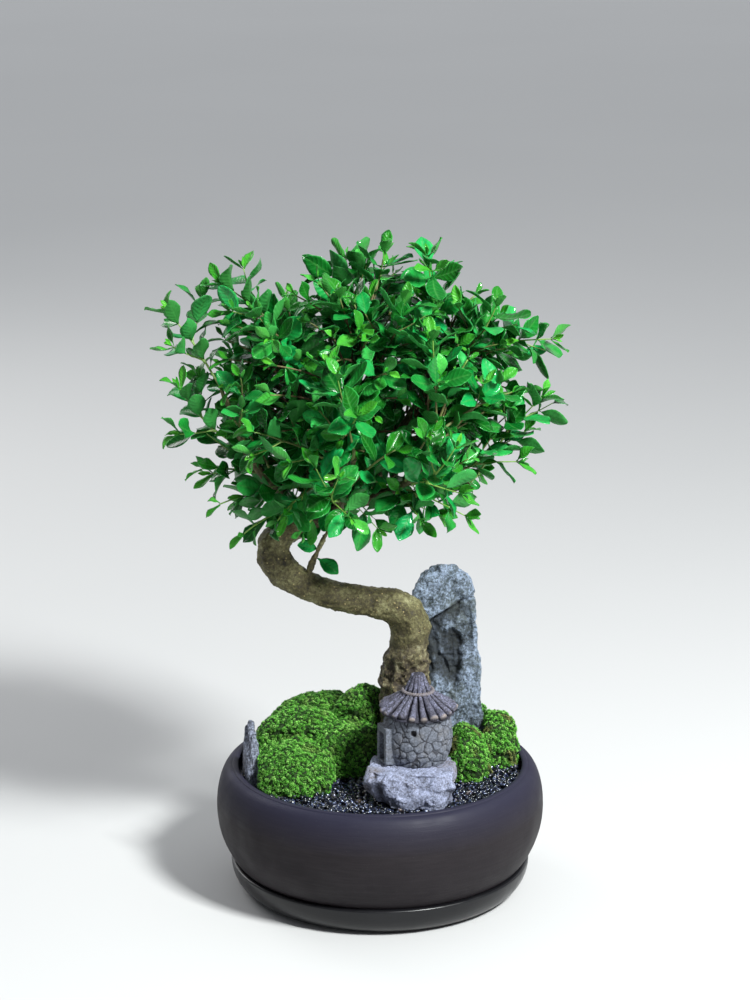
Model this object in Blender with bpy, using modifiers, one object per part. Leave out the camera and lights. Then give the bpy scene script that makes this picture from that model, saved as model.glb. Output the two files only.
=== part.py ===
"""A small-leaf privet bonsai in a round clay pot, dressed with moss, black gravel, stones and a toy hut.

Metres, +Z up. The origin is the centre of the saucer's underside and +Z is the pot's axis.
The front of the planting faces -Y. The pieces rest on each other, with GAP between them:
saucer, pot, drain screen, soil, gravel, then the moss, the stones and the hut. The trunk and
the standing stone go down through the gravel into the soil. Each leafy spray is one twig with
its side twigs and leaves, and starts at the bark of a limb.
"""

import math
import random

import bmesh
import bpy
from mathutils import Matrix, Vector
from mathutils.bvhtree import BVHTree

# Clearance between pieces that touch.
GAP = 0.0003

# Saucer.
SAUCER_CLEARANCE = 0.0004
SAUCER_HEIGHT = 0.0200
SAUCER_FOOT = 0.0860
SAUCER_FLOOR = 0.0060
SAUCER_WALL = 0.0048

# Pot. Heights are above the underside of its foot.
POT_RADIUS = 0.1100
MOUTH_RADIUS = 0.0953
POT_HEIGHT = 0.0791
BELLY_HEIGHT = 0.0503
POT_FOOT = 0.0700
POT_WALL = 0.0065
POT_FLOOR = 0.0080
LIP_WIDTH = 0.0040
FOOT_RECESS = 0.0025
FOOT_RING = 0.0090
DRAIN_RADIUS = 0.0100
SCREEN_SIDE = 0.0300
SCREEN_BAR = 0.0012
SCREEN_CELLS = 4
TURN_STEPS = 32
ARC_POINTS = 5

# Planting levels, below the pot's lip.
GRAVEL_BELOW_LIP = 0.0054
GRAVEL_DEPTH = 0.0060

# Trunk: centre of the root crown, depth of the root in the soil and the bends above the gravel,
# each bend as (x, y, height above the gravel, radius).
TRUNK_X, TRUNK_Y = 0.0167, 0.0060
ROOT_DEPTH = 0.0300
ROOT_TIP_RADIUS = 0.0090
CROWN_RADIUS = 0.0195
TRUNK_SIDES = 12
TRUNK_BENDS = (
    (0.0167, 0.0060, 0.0200, 0.0172),
    (0.0163, 0.0062, 0.0420, 0.0152),
    (0.0158, 0.0060, 0.0600, 0.0158),
    (0.0170, 0.0052, 0.0740, 0.0146),
    (0.0188, 0.0044, 0.0860, 0.0130),
    (0.0208, 0.0036, 0.0980, 0.0135),
    (0.0172, 0.0026, 0.1085, 0.0132),
    (0.0070, 0.0012, 0.1150, 0.0120),
    (-0.0130, -0.0018, 0.1188, 0.0099),
    (-0.0270, -0.0036, 0.1222, 0.0098),
    (-0.0400, -0.0050, 0.1260, 0.0094),
    (-0.0530, -0.0060, 0.1322, 0.0098),
    (-0.0636, -0.0056, 0.1395, 0.0112),
    (-0.0700, -0.0040, 0.1490, 0.0116),
    (-0.0700, -0.0018, 0.1585, 0.0110),
    (-0.0640, 0.0006, 0.1660, 0.0102),
    (-0.0540, 0.0032, 0.1700, 0.0096),
    (-0.0420, 0.0056, 0.1745, 0.0084),
    (-0.0300, 0.0076, 0.1800, 0.0070),
)

# Limbs, each as points (x, y, height above the gravel), then its radius at the trunk and at its end.
LIMB_SIDES = 6
LIMBS = (
    ("right", ((-0.036, 0.007, 0.177), (-0.014, 0.002, 0.186), (0.012, -0.004, 0.190),
               (0.038, -0.008, 0.194), (0.060, -0.010, 0.202)), 0.0058, 0.0020),
    ("right_up", ((-0.032, 0.007, 0.179), (-0.012, 0.010, 0.198), (0.010, 0.012, 0.226),
                  (0.028, 0.012, 0.256), (0.040, 0.010, 0.284)), 0.0055, 0.0018),
    ("middle", ((-0.030, 0.008, 0.178), (-0.030, 0.000, 0.202), (-0.022, -0.010, 0.232),
                (-0.016, -0.014, 0.264), (-0.012, -0.012, 0.294)), 0.0056, 0.0018),
    ("left", ((-0.044, 0.005, 0.174), (-0.062, -0.004, 0.192), (-0.080, -0.012, 0.212),
              (-0.092, -0.014, 0.236), (-0.100, -0.012, 0.260)), 0.0048, 0.0017),
    ("left_up", ((-0.034, 0.007, 0.178), (-0.044, 0.014, 0.204), (-0.054, 0.016, 0.234),
                 (-0.058, 0.014, 0.264), (-0.058, 0.010, 0.290)), 0.0050, 0.0017),
    ("back", ((-0.032, 0.008, 0.179), (-0.028, 0.030, 0.194), (-0.026, 0.048, 0.216),
              (-0.022, 0.058, 0.246), (-0.018, 0.062, 0.272)), 0.0050, 0.0017),
    ("back_right", ((-0.030, 0.008, 0.180), (-0.006, 0.026, 0.194), (0.018, 0.042, 0.210),
                    (0.038, 0.050, 0.234)), 0.0044, 0.0016),
    ("front", ((-0.032, 0.006, 0.178), (-0.026, -0.018, 0.188), (-0.022, -0.040, 0.206),
               (-0.016, -0.054, 0.230)), 0.0044, 0.0016),
    ("front_right", ((-0.014, 0.002, 0.186), (0.008, -0.024, 0.200), (0.026, -0.042, 0.220),
                     (0.036, -0.050, 0.246)), 0.0036, 0.0015),
    ("back_left", ((-0.050, 0.004, 0.171), (-0.070, 0.022, 0.182), (-0.084, 0.036, 0.200),
                   (-0.090, 0.042, 0.224)), 0.0040, 0.0015),
    ("low", ((-0.049, -0.007, 0.131), (-0.045, -0.010, 0.146), (-0.039, -0.013, 0.160),
             (-0.034, -0.018, 0.172)), 0.0026, 0.0015),
)

# Crown: the centre's height above the gravel, and how far its leaves reach.
CROWN_CENTRE = (-0.0080, 0.0000, 0.2560)
CROWN_REACH = (0.0980, 0.0900, 0.0860)
# Sprays that shape the outline: azimuth from +X, elevation, and reach as a share of CROWN_REACH.
LEADING_SPRAYS = (
    (179, 26, 1.46), (178, 42, 1.30), (184, 6, 1.22), (186, -10, 1.12), (190, -40, 1.12),
    (110, 66, 1.08), (60, 80, 1.10), (352, 70, 1.16), (350, 44, 1.12), (355, 22, 1.30),
    (352, 2, 1.16), (350, -24, 1.16), (330, -46, 1.18), (300, -50, 1.06), (205, -44, 1.06),
)
SPRAY_COUNT = 40
EVEN_REACH = 0.97
LOWEST_ELEVATION = -60
# A spray's main twig is about this long. It leaves a limb where it can head away from a point
# this share of the crown's height below its centre, and where few others leave.
SPRAY_LENGTH = 0.0620
FAN_DEPTH = 0.6
OUTWARD_WEIGHT = 0.0200
CROWD_WEIGHT, CROWD_REACH = 0.0120, 0.0040
SPRAY_RISE = 0.0060
SPRAY_TRIES = 60
JITTER, JITTER_STEP = 0.0030, 0.0006
LIMB_CLEARANCE = 1.9
SEED = 11

# Twigs and leaves.
TWIG_RADIUS = 0.0011
TWIG_TIP_RADIUS = 0.0005
NODE_SPACING = 0.0135
NODE_LENGTH = 0.0016
BARE_SHARE = 0.22
SIDE_TWIG_LENGTH = 0.0250
SIDE_TWIG_EVERY = 1
LEAF_LENGTH = 0.0225
LEAF_SHAPE = 0.58
LEAF_THICKNESS = 0.0008
LEAF_ROOM = 0.0014
LEAF_ANGLE = 58
TIP_LEAF_ANGLE = 44
LEAF_TWIST = 32
LEAF_TRIES = 10

# Moss cushions: name, place as a share of the mouth radius, and half sizes.
MOSS = (
    ("moss_front_left", (-0.60, -0.26), (0.0330, 0.0310, 0.0240)),
    ("moss_left", (-0.55, 0.08), (0.0360, 0.0300, 0.0370)),
    ("moss_middle", (-0.19, 0.00), (0.0300, 0.0220, 0.0300)),
    ("moss_by_trunk", (-0.11, 0.20), (0.0270, 0.0240, 0.0500)),
    ("moss_back_left", (-0.42, 0.52), (0.0380, 0.0300, 0.0330)),
    ("moss_right_front", (0.60, -0.08), (0.0150, 0.0240, 0.0310)),
    ("moss_right", (0.82, 0.24), (0.0240, 0.0260, 0.0290)),
    ("moss_back", (0.08, 0.66), (0.0360, 0.0270, 0.0300)),
    ("moss_back_right", (0.56, 0.58), (0.0330, 0.0270, 0.0260)),
)
MOSS_EDGE = 0.0030

# Stones. Corners are from the stone's own foot. The standing stone's foot is in the soil, and
# its place is on this azimuth from the trunk, this far outside the root crown.
STANDING_AZIMUTH, STANDING_MARGIN = 39.9, 0.0226
STANDING_DEPTH = 0.0180
STANDING_CORNERS = (
    (-0.0170, -0.0120, 0.0), (0.0200, -0.0130, 0.0), (0.0215, 0.0110, 0.0), (-0.0150, 0.0125, 0.0),
    (-0.0190, -0.0130, 0.030), (0.0225, -0.0110, 0.045), (0.0190, 0.0120, 0.045), (-0.0180, 0.0120, 0.040),
    (-0.0220, -0.0110, 0.090), (0.0150, -0.0100, 0.098), (0.0150, 0.0100, 0.095), (-0.0210, 0.0100, 0.090),
    (-0.0290, -0.0080, 0.128), (0.0140, -0.0070, 0.137), (0.0130, 0.0070, 0.132), (-0.0275, 0.0070, 0.126),
    (-0.0260, -0.0065, 0.143), (0.0090, -0.0055, 0.152), (-0.0200, 0.0055, 0.150),
    (-0.0090, -0.0035, 0.1565), (0.0020, 0.0020, 0.1560),
)
BASE_STONE_X = 0.0195
BASE_STONE_REACH = 0.0190
BASE_STONE_HALF_WIDTH = 0.0175
BASE_STONE_HEIGHT = 0.0237
BASE_STONE_CORNERS = (
    (-0.0130, -0.0170, 0.0), (0.0190, -0.0180, 0.0), (0.0260, -0.0040, 0.0), (0.0220, 0.0300, 0.0),
    (-0.0160, 0.0280, 0.0), (-0.0230, 0.0040, 0.0),
    (-0.0285, -0.0060, 0.0150), (-0.0275, 0.0200, 0.0160), (0.0285, -0.0120, 0.0110),
    (0.0290, 0.0180, 0.0140), (-0.0220, -0.0150, 0.0190), (0.0180, -0.0190, 0.0150),
)
BASE_STONE_TOP_CORNERS = (
    (-0.0270, -0.0030, BASE_STONE_HEIGHT), (-0.0200, -0.0120, BASE_STONE_HEIGHT),
    (0.0170, -0.0150, BASE_STONE_HEIGHT), (0.0280, -0.0080, BASE_STONE_HEIGHT),
    (0.0275, 0.0200, BASE_STONE_HEIGHT), (0.0130, 0.0330, BASE_STONE_HEIGHT),
    (-0.0160, 0.0310, BASE_STONE_HEIGHT), (-0.0265, 0.0170, BASE_STONE_HEIGHT),
)
SHARD_AZIMUTH, SHARD_MARGIN = 192, 0.0075
SHARD_CORNERS = (
    (-0.0035, -0.0150, 0.0), (0.0040, -0.0140, 0.0), (0.0045, 0.0120, 0.0), (-0.0030, 0.0130, 0.0),
    (-0.0040, -0.0120, 0.0150), (0.0035, -0.0110, 0.0200), (0.0020, 0.0090, 0.0340),
    (-0.0020, 0.0100, 0.0290), (0.0012, 0.0040, 0.0380),
)

# Hut. Heights are above the base stone's top.
HUT_OFFSET = (0.0050, 0.0170)
HUT_RADIUS = 0.0226
HUT_FOOT_RADIUS = 0.0195
HUT_WALL_HEIGHT = 0.0320
HUT_EAVE_RADIUS = 0.0275
HUT_EAVE_THICKNESS = 0.0030
HUT_TIE_RADIUS = 0.0112
HUT_TIE_HEIGHT = 0.0135
HUT_APEX_RADIUS = 0.0042
HUT_ROOF_HEIGHT = 0.0268
HUT_REEDS = 22
REED_DEPTH = 0.0011
DOOR_AZIMUTH = 202
DOOR_WIDTH, DOOR_HEIGHT, DOOR_DEPTH = 0.0085, 0.0195, 0.0080
FRAME_WIDTH, FRAME_HEIGHT, FRAME_PROUD = 0.0150, 0.0250, 0.0030
WINDOW_AZIMUTH, WINDOW_SIDE, WINDOW_DEPTH, WINDOW_HEIGHT = 262, 0.0034, 0.0030, 0.0245

# Worked-out levels.
POT_BASE = SAUCER_FLOOR + GAP
LIP_LEVEL = POT_BASE + POT_HEIGHT
GRAVEL_TOP = LIP_LEVEL - GRAVEL_BELOW_LIP
SOIL_TOP = GRAVEL_TOP - GRAVEL_DEPTH - GAP
BASE_STONE_LEVEL = GRAVEL_TOP + GAP
HUT_LEVEL = BASE_STONE_LEVEL + BASE_STONE_HEIGHT + GAP
ROOF_LEVEL = HUT_LEVEL + HUT_WALL_HEIGHT + GAP

COLOURS = {
    "clay": ((0.060, 0.050, 0.052), 0.55),
    "glaze": ((0.030, 0.030, 0.034), 0.30),
    "plastic": ((0.050, 0.055, 0.050), 0.60),
    "soil": ((0.050, 0.033, 0.022), 0.95),
    "gravel": ((0.020, 0.021, 0.025), 0.35),
    "moss": ((0.110, 0.260, 0.035), 0.90),
    "stone": ((0.270, 0.275, 0.320), 0.85),
    "hut_stone": ((0.240, 0.225, 0.235), 0.85),
    "thatch": ((0.200, 0.165, 0.190), 0.85),
    "bark": ((0.270, 0.215, 0.110), 0.80),
    "leaf": ((0.030, 0.210, 0.035), 0.35),
}


def clear_scene():
    """Remove every object, so that the script starts from nothing."""
    for obj in list(bpy.data.objects):
        bpy.data.objects.remove(obj)


def make_collection(name):
    collection = bpy.data.collections.new(name)
    bpy.context.scene.collection.children.link(collection)
    return collection


def material(name):
    """The shared Principled material of that name from COLOURS."""
    found = bpy.data.materials.get(name)
    if found:
        return found
    colour, roughness = COLOURS[name]
    made = bpy.data.materials.new(name)
    made.use_nodes = True
    shader = made.node_tree.nodes["Principled BSDF"]
    shader.inputs["Base Color"].default_value = (*colour, 1.0)
    shader.inputs["Roughness"].default_value = roughness
    shader.inputs["Metallic"].default_value = 0.0
    return made


def add_object(name, bm, collection, finish=None, smooth=False):
    """Turn a bmesh into an object of the collection, its faces outward."""
    if bm.calc_volume(signed=True) < 0:
        bmesh.ops.reverse_faces(bm, faces=bm.faces[:])
    mesh = bpy.data.meshes.new(name)
    bm.to_mesh(mesh)
    bm.free()
    obj = bpy.data.objects.new(name, mesh)
    collection.objects.link(obj)
    if finish:
        mesh.materials.append(material(finish))
    if smooth:
        mesh.shade_smooth()
        mesh.set_sharp_from_angle(angle=math.radians(35))
    return obj


def add_cutter(name, bm):
    """A helper object that only shapes another."""
    cutter = add_object(name, bm, cutters)
    cutter.hide_render = True
    cutter.display_type = "WIRE"
    return cutter


def boolean(obj, other, operation="DIFFERENCE"):
    """Cut the object with another one, or join the other one or a collection to it."""
    modifier = obj.modifiers.new(operation.lower(), "BOOLEAN")
    modifier.operation = operation
    if isinstance(other, bpy.types.Collection):
        modifier.operand_type = "COLLECTION"
        modifier.collection = other
    else:
        modifier.object = other


def arc(start, end, bulge_first=True):
    """Points of a quarter ellipse from start to end, both (radius, height), without the start.

    It leaves the start along the radius if bulge_first, and along the height otherwise.
    """
    points = []
    for i in range(1, ARC_POINTS + 1):
        turn = i / ARC_POINTS * math.pi / 2
        along, rise = math.sin(turn), 1 - math.cos(turn)
        share = (along, rise) if bulge_first else (rise, along)
        points.append((
            start[0] + (end[0] - start[0]) * share[0],
            start[1] + (end[1] - start[1]) * share[1],
        ))
    return points


def turned(name, profile, finish, closed=False, steps=TURN_STEPS):
    """A turned solid from its (radius, height) profile, which runs down its outer side."""
    bm = bmesh.new()
    verts = [bm.verts.new((radius, 0, height)) for radius, height in profile]
    for a, b in zip(verts, verts[1:]):
        bm.edges.new((a, b))
    if closed:
        bm.edges.new((verts[-1], verts[0]))
    mesh = bpy.data.meshes.new(name)
    bm.to_mesh(mesh)
    bm.free()
    obj = bpy.data.objects.new(name, mesh)
    parts.objects.link(obj)
    mesh.materials.append(material(finish))
    screw = obj.modifiers.new("turn", "SCREW")
    screw.steps = screw.render_steps = steps
    screw.use_merge_vertices = True
    screw.merge_threshold = 0.00001
    screw.use_smooth_shade = True
    return obj


def pot_outer_foot_curve():
    """(radius, height) points of the pot's outer side, from its belly down to its foot."""
    points = []
    for i in range(ARC_POINTS - 1, -1, -1):
        turn = math.pi / 2 * i / ARC_POINTS
        radius = POT_FOOT + (POT_RADIUS - POT_FOOT) * math.sin(turn)
        points.append((radius, BELLY_HEIGHT * (1 - math.cos(turn))))
    return points


def pot_outer_radius(height):
    """Radius of the pot's outer side at a height above its foot, up to its belly."""
    curve = pot_outer_foot_curve()[::-1] + [(POT_RADIUS, BELLY_HEIGHT)]
    for (low_radius, low), (high_radius, high) in zip(curve, curve[1:]):
        if low <= height <= high:
            return low_radius + (high_radius - low_radius) * (height - low) / (high - low)
    return POT_RADIUS


def pot_inner_wall():
    """(radius, height) points of the pot's inner wall, from its floor to its mouth."""
    floor, belly = POT_FOOT - POT_WALL / 2, POT_RADIUS - POT_WALL
    points = []
    for i in range(ARC_POINTS + 1):
        turn = math.pi / 2 * i / ARC_POINTS
        points.append((floor + (belly - floor) * math.sin(turn),
                       POT_FLOOR + (BELLY_HEIGHT - POT_FLOOR) * (1 - math.cos(turn))))
    for i in range(1, ARC_POINTS + 1):
        turn = math.pi / 2 * i / ARC_POINTS
        points.append((MOUTH_RADIUS + (belly - MOUTH_RADIUS) * math.cos(turn),
                       BELLY_HEIGHT + (POT_HEIGHT - LIP_WIDTH / 3 - BELLY_HEIGHT) * math.sin(turn)))
    return points


def pot_inner_radius(height):
    """Radius of the pot's inner wall at a height above its foot."""
    wall = pot_inner_wall()
    for (low_radius, low), (high_radius, high) in zip(wall, wall[1:]):
        if low <= height <= high:
            return low_radius + (high_radius - low_radius) * (height - low) / (high - low)
    return wall[-1][0]


def make_saucer():
    """The saucer, whose rim just clears the pot."""
    rim_height = SAUCER_HEIGHT - SAUCER_WALL / 3
    inner_rim = (pot_outer_radius(rim_height - POT_BASE) + SAUCER_CLEARANCE, rim_height)
    rim = (inner_rim[0] + SAUCER_WALL, rim_height)
    profile = [(inner_rim[0] + SAUCER_WALL / 2, SAUCER_HEIGHT), rim]
    profile += arc(rim, (SAUCER_FOOT, 0.0), bulge_first=False)
    profile += [(0.0, 0.0), (0.0, SAUCER_FLOOR), (SAUCER_FOOT - SAUCER_WALL, SAUCER_FLOOR)]
    profile += arc(profile[-1], inner_rim)
    return turned("saucer", profile, "glaze", closed=True)


def make_pot():
    """The bowl, with a ring foot underneath and a drain hole in its floor."""
    belly = (POT_RADIUS, BELLY_HEIGHT)
    lip_out = (MOUTH_RADIUS + LIP_WIDTH, POT_HEIGHT - LIP_WIDTH / 4)
    upper = []
    for i in range(ARC_POINTS, -1, -1):
        turn = math.pi / 2 * i / ARC_POINTS
        radius = lip_out[0] + (belly[0] - lip_out[0]) * math.cos(turn)
        upper.append((radius, belly[1] + (lip_out[1] - belly[1]) * math.sin(turn)))
    profile = [(MOUTH_RADIUS + LIP_WIDTH / 2, POT_HEIGHT)] + upper + pot_outer_foot_curve()
    foot_inner = POT_FOOT - FOOT_RING
    profile += [(foot_inner, 0.0), (foot_inner, FOOT_RECESS)]
    profile += [(DRAIN_RADIUS, FOOT_RECESS), (DRAIN_RADIUS, POT_FLOOR)]
    profile += pot_inner_wall()
    pot = turned("pot", profile, "clay", closed=True)
    pot.location.z = POT_BASE
    return pot


def make_drain_screen():
    """The plastic mesh that keeps the soil in over the drain hole."""
    bm = bmesh.new()
    bmesh.ops.create_grid(bm, x_segments=SCREEN_CELLS, y_segments=SCREEN_CELLS, size=SCREEN_SIDE / 2)
    screen = add_object("drain_screen", bm, parts, "plastic")
    lattice = screen.modifiers.new("bars", "WIREFRAME")
    lattice.thickness = SCREEN_BAR
    lattice.use_even_offset = False
    lattice.use_boundary = True
    screen.location.z = POT_BASE + POT_FLOOR + GAP + SCREEN_BAR / 2
    return screen


def fill_profile(bottom, top, recess=0.0, recess_radius=0.0):
    """Profile of a body that fills the pot between two levels above the pot's foot, clear of its wall."""
    levels = [top] + [level for _, level in reversed(pot_inner_wall()) if bottom < level < top] + [bottom]
    profile = [(0.0, top)] + [(pot_inner_radius(level) - 3 * GAP, level) for level in levels]
    if recess:
        profile += [(recess_radius, bottom), (recess_radius, bottom + recess), (0.0, bottom + recess)]
    else:
        profile.append((0.0, bottom))
    return profile


def make_soil():
    recess_radius = SCREEN_SIDE / math.sqrt(2) + 4 * GAP + SCREEN_BAR
    profile = fill_profile(POT_FLOOR + GAP, SOIL_TOP - POT_BASE, SCREEN_BAR + 2 * GAP, recess_radius)
    soil = turned("soil", profile, "soil")
    soil.location.z = POT_BASE
    return soil


def make_gravel():
    profile = fill_profile(SOIL_TOP + GAP - POT_BASE, GRAVEL_TOP - POT_BASE)
    gravel = turned("gravel", profile, "gravel")
    gravel.location.z = POT_BASE
    return gravel


def ring_axes(direction):
    """Two unit vectors across a direction, the first as level as it can be."""
    across = direction.cross(Vector((0, 0, 1)))
    if across.length < 0.05:
        across = Vector((1, 0, 0))
    across.normalize()
    return across, direction.cross(across).normalized()


def extend(bm, face, centre, direction, radius, old_centre, old_direction, old_radius):
    """Extrude an end face to the next ring of a tube, and return the new end face."""
    made = bmesh.ops.extrude_discrete_faces(bm, faces=[face])["faces"][0]
    turn = old_direction.rotation_difference(direction)
    scale = radius / old_radius
    for vert in made.verts:
        vert.co = centre + (turn @ (vert.co - old_centre)) * scale
    return made


def tube(points, radii, sides, bm=None):
    """A closed tube through the points, each ring square to the bisector of its neighbours."""
    bm = bm or bmesh.new()
    points = [Vector(p) for p in points]
    ways = [(b - a).normalized() for a, b in zip(points, points[1:])]
    ways = [ways[0]] + [(a + b).normalized() for a, b in zip(ways, ways[1:])] + [ways[-1]]
    turn = Vector((0, 0, 1)).rotation_difference(ways[0]).to_matrix().to_4x4()
    start = Matrix.Translation(points[0]) @ turn
    made = bmesh.ops.create_circle(bm, cap_ends=True, segments=sides, radius=radii[0], matrix=start)
    first = made["verts"][0].link_faces[0]
    walls = bmesh.ops.extrude_face_region(bm, geom=[first], use_keep_orig=True)
    end = next(item for item in walls["geom"] if isinstance(item, bmesh.types.BMFace))
    turn = ways[0].rotation_difference(ways[1])
    for vert in end.verts:
        vert.co = points[1] + (turn @ (vert.co - points[0])) * (radii[1] / radii[0])
    for i in range(2, len(points)):
        end = extend(bm, end, points[i], ways[i], radii[i], points[i - 1], ways[i - 1], radii[i - 1])
    return bm


def smooth_path(points, pieces):
    """Points of a Catmull-Rom curve through the given ones, with so many pieces between each two."""
    points = [Vector(p) for p in points]
    ends = [points[0] * 2 - points[1]] + points + [points[-1] * 2 - points[-2]]
    path = []
    for a, b, c, d in zip(ends, ends[1:], ends[2:], ends[3:]):
        for i in range(pieces):
            t = i / pieces
            path.append(0.5 * ((2 * b) + (c - a) * t + (2 * a - 5 * b + 4 * c - d) * t * t
                               + (3 * b - a - 3 * c + d) * t * t * t))
    path.append(points[-1])
    return path


def trunk_line():
    """Centre points and radii of the trunk, from the root's tip up to the fork."""
    root = [
        (Vector((TRUNK_X, TRUNK_Y, SOIL_TOP - ROOT_DEPTH)), ROOT_TIP_RADIUS),
        (Vector((TRUNK_X, TRUNK_Y, SOIL_TOP - ROOT_DEPTH / 2)), (ROOT_TIP_RADIUS + CROWN_RADIUS) / 2),
        (Vector((TRUNK_X, TRUNK_Y, SOIL_TOP)), CROWN_RADIUS),
        (Vector((TRUNK_X, TRUNK_Y, GRAVEL_TOP)), CROWN_RADIUS),
    ]
    bends = [(Vector((x, y, GRAVEL_TOP + rise)), radius) for x, y, rise, radius in TRUNK_BENDS]
    points, radii = zip(*(root + bends))
    return list(points), list(radii)


def limb_lines():
    """(name, points, radii) of each limb, in the part's frame."""
    lines = []
    for name, corners, thick, thin in LIMBS:
        path = smooth_path([(x, y, GRAVEL_TOP + rise) for x, y, rise in corners], 2)
        radii = [thick + (thin - thick) * i / (len(path) - 1) for i in range(len(path))]
        lines.append((name, path, radii))
    return lines


def make_trunk(soil, gravel):
    """Root, trunk and limbs in one piece of wood, and the hollow that the root needs."""
    points, radii = trunk_line()
    trunk = add_object("trunk", tube(points, radii, TRUNK_SIDES), parts, "bark", smooth=True)
    for name, path, limb_radii in limb_lines():
        limb = add_object("limb_" + name, tube(path, limb_radii, LIMB_SIDES), limbs, "bark")
        limb.hide_render = True
    boolean(trunk, limbs, "UNION")
    above, below = Vector((0, 0, GRAVEL_DEPTH)), Vector((0, 0, 2 * GAP))
    hole_points = [points[0] - below] + points[1:4] + [points[3] + above]
    hole_radii = [radius + 2 * GAP for radius in radii[:4] + [radii[3]]]
    hole = add_cutter("root_hollow", tube(hole_points, hole_radii, TRUNK_SIDES))
    boolean(soil, hole)
    boolean(gravel, hole)
    return trunk


def hull(corners, place, grow=0.0):
    """The convex hull of the corners, moved to its place, and grown outward if asked."""
    bm = bmesh.new()
    middle = sum((Vector(c) for c in corners), Vector()) / len(corners)
    for corner in corners:
        corner = Vector(corner)
        bm.verts.new(corner + (corner - middle).normalized() * grow + place)
    made = bmesh.ops.convex_hull(bm, input=bm.verts[:])
    spare = [v for v in made["geom_interior"] + made["geom_unused"] if isinstance(v, bmesh.types.BMVert)]
    bmesh.ops.delete(bm, geom=list(set(spare)), context="VERTS")
    return bm


def standing_stone_place():
    """Foot of the standing stone, behind the trunk."""
    foot = Vector((TRUNK_X, TRUNK_Y, SOIL_TOP - STANDING_DEPTH))
    return foot + toward(STANDING_AZIMUTH, CROWN_RADIUS + STANDING_MARGIN)


def base_stone_place():
    """Foot of the base stone: its front corners stay inside the pot's mouth."""
    reach = MOUTH_RADIUS - POT_WALL
    corner_x = BASE_STONE_X + BASE_STONE_HALF_WIDTH
    return Vector((BASE_STONE_X, BASE_STONE_REACH - math.sqrt(reach ** 2 - corner_x ** 2), BASE_STONE_LEVEL))


def make_stones(soil, gravel):
    foot = standing_stone_place()
    add_object("standing_stone", hull(STANDING_CORNERS, foot), parts, "stone")
    socket = add_cutter("stone_socket", hull(STANDING_CORNERS, foot, grow=3 * GAP))
    boolean(soil, socket)
    boolean(gravel, socket)
    corners = BASE_STONE_CORNERS + BASE_STONE_TOP_CORNERS
    add_object("base_stone", hull(corners, base_stone_place()), parts, "stone")
    place, turn = shard_place()
    shard = hull(SHARD_CORNERS, Vector())
    bmesh.ops.rotate(shard, verts=shard.verts[:], matrix=Matrix.Rotation(turn, 3, "Z"))
    bmesh.ops.translate(shard, verts=shard.verts[:], vec=place)
    add_object("rim_stone", shard, parts, "stone")


def ribbed_tube(rings, ribs, depth):
    """A turned solid of (radius, height, share of rib depth) rings, whose side has ribs."""
    bm = bmesh.new()
    sides = 2 * ribs

    def ring(radius, height, share):
        points = []
        for i in range(sides):
            turn = 2 * math.pi * i / sides
            reach = radius - (depth * share if i % 2 else 0.0)
            points.append(Vector((reach * math.cos(turn), reach * math.sin(turn), height)))
        return points

    bmesh.ops.create_circle(bm, cap_ends=True, segments=sides, radius=1.0)
    bm.verts.ensure_lookup_table()
    for vert, point in zip(bm.verts, ring(*rings[0])):
        vert.co = point
    first = bm.verts[0].link_faces[0]
    made = bmesh.ops.extrude_face_region(bm, geom=[first], use_keep_orig=True)
    end = next(item for item in made["geom"] if isinstance(item, bmesh.types.BMFace))
    for number, row in enumerate(rings[1:]):
        if number:
            end = bmesh.ops.extrude_discrete_faces(bm, faces=[end])["faces"][0]
        for vert in end.verts:
            turn = math.atan2(vert.co.y, vert.co.x) % (2 * math.pi)
            vert.co = ring(*row)[round(turn / (2 * math.pi) * sides) % sides]
    return bm


def block(size, place, azimuth):
    """A box whose length points to the azimuth, as a bmesh."""
    bm = bmesh.new()
    turn = Matrix.Rotation(math.radians(azimuth), 4, "Z")
    shape = Matrix.Translation(place) @ turn @ Matrix.Diagonal((*size, 1.0))
    bmesh.ops.create_cube(bm, size=1.0, matrix=shape)
    return bm


def toward(azimuth, distance):
    turn = math.radians(azimuth)
    return Vector((distance * math.cos(turn), distance * math.sin(turn), 0.0))


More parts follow.
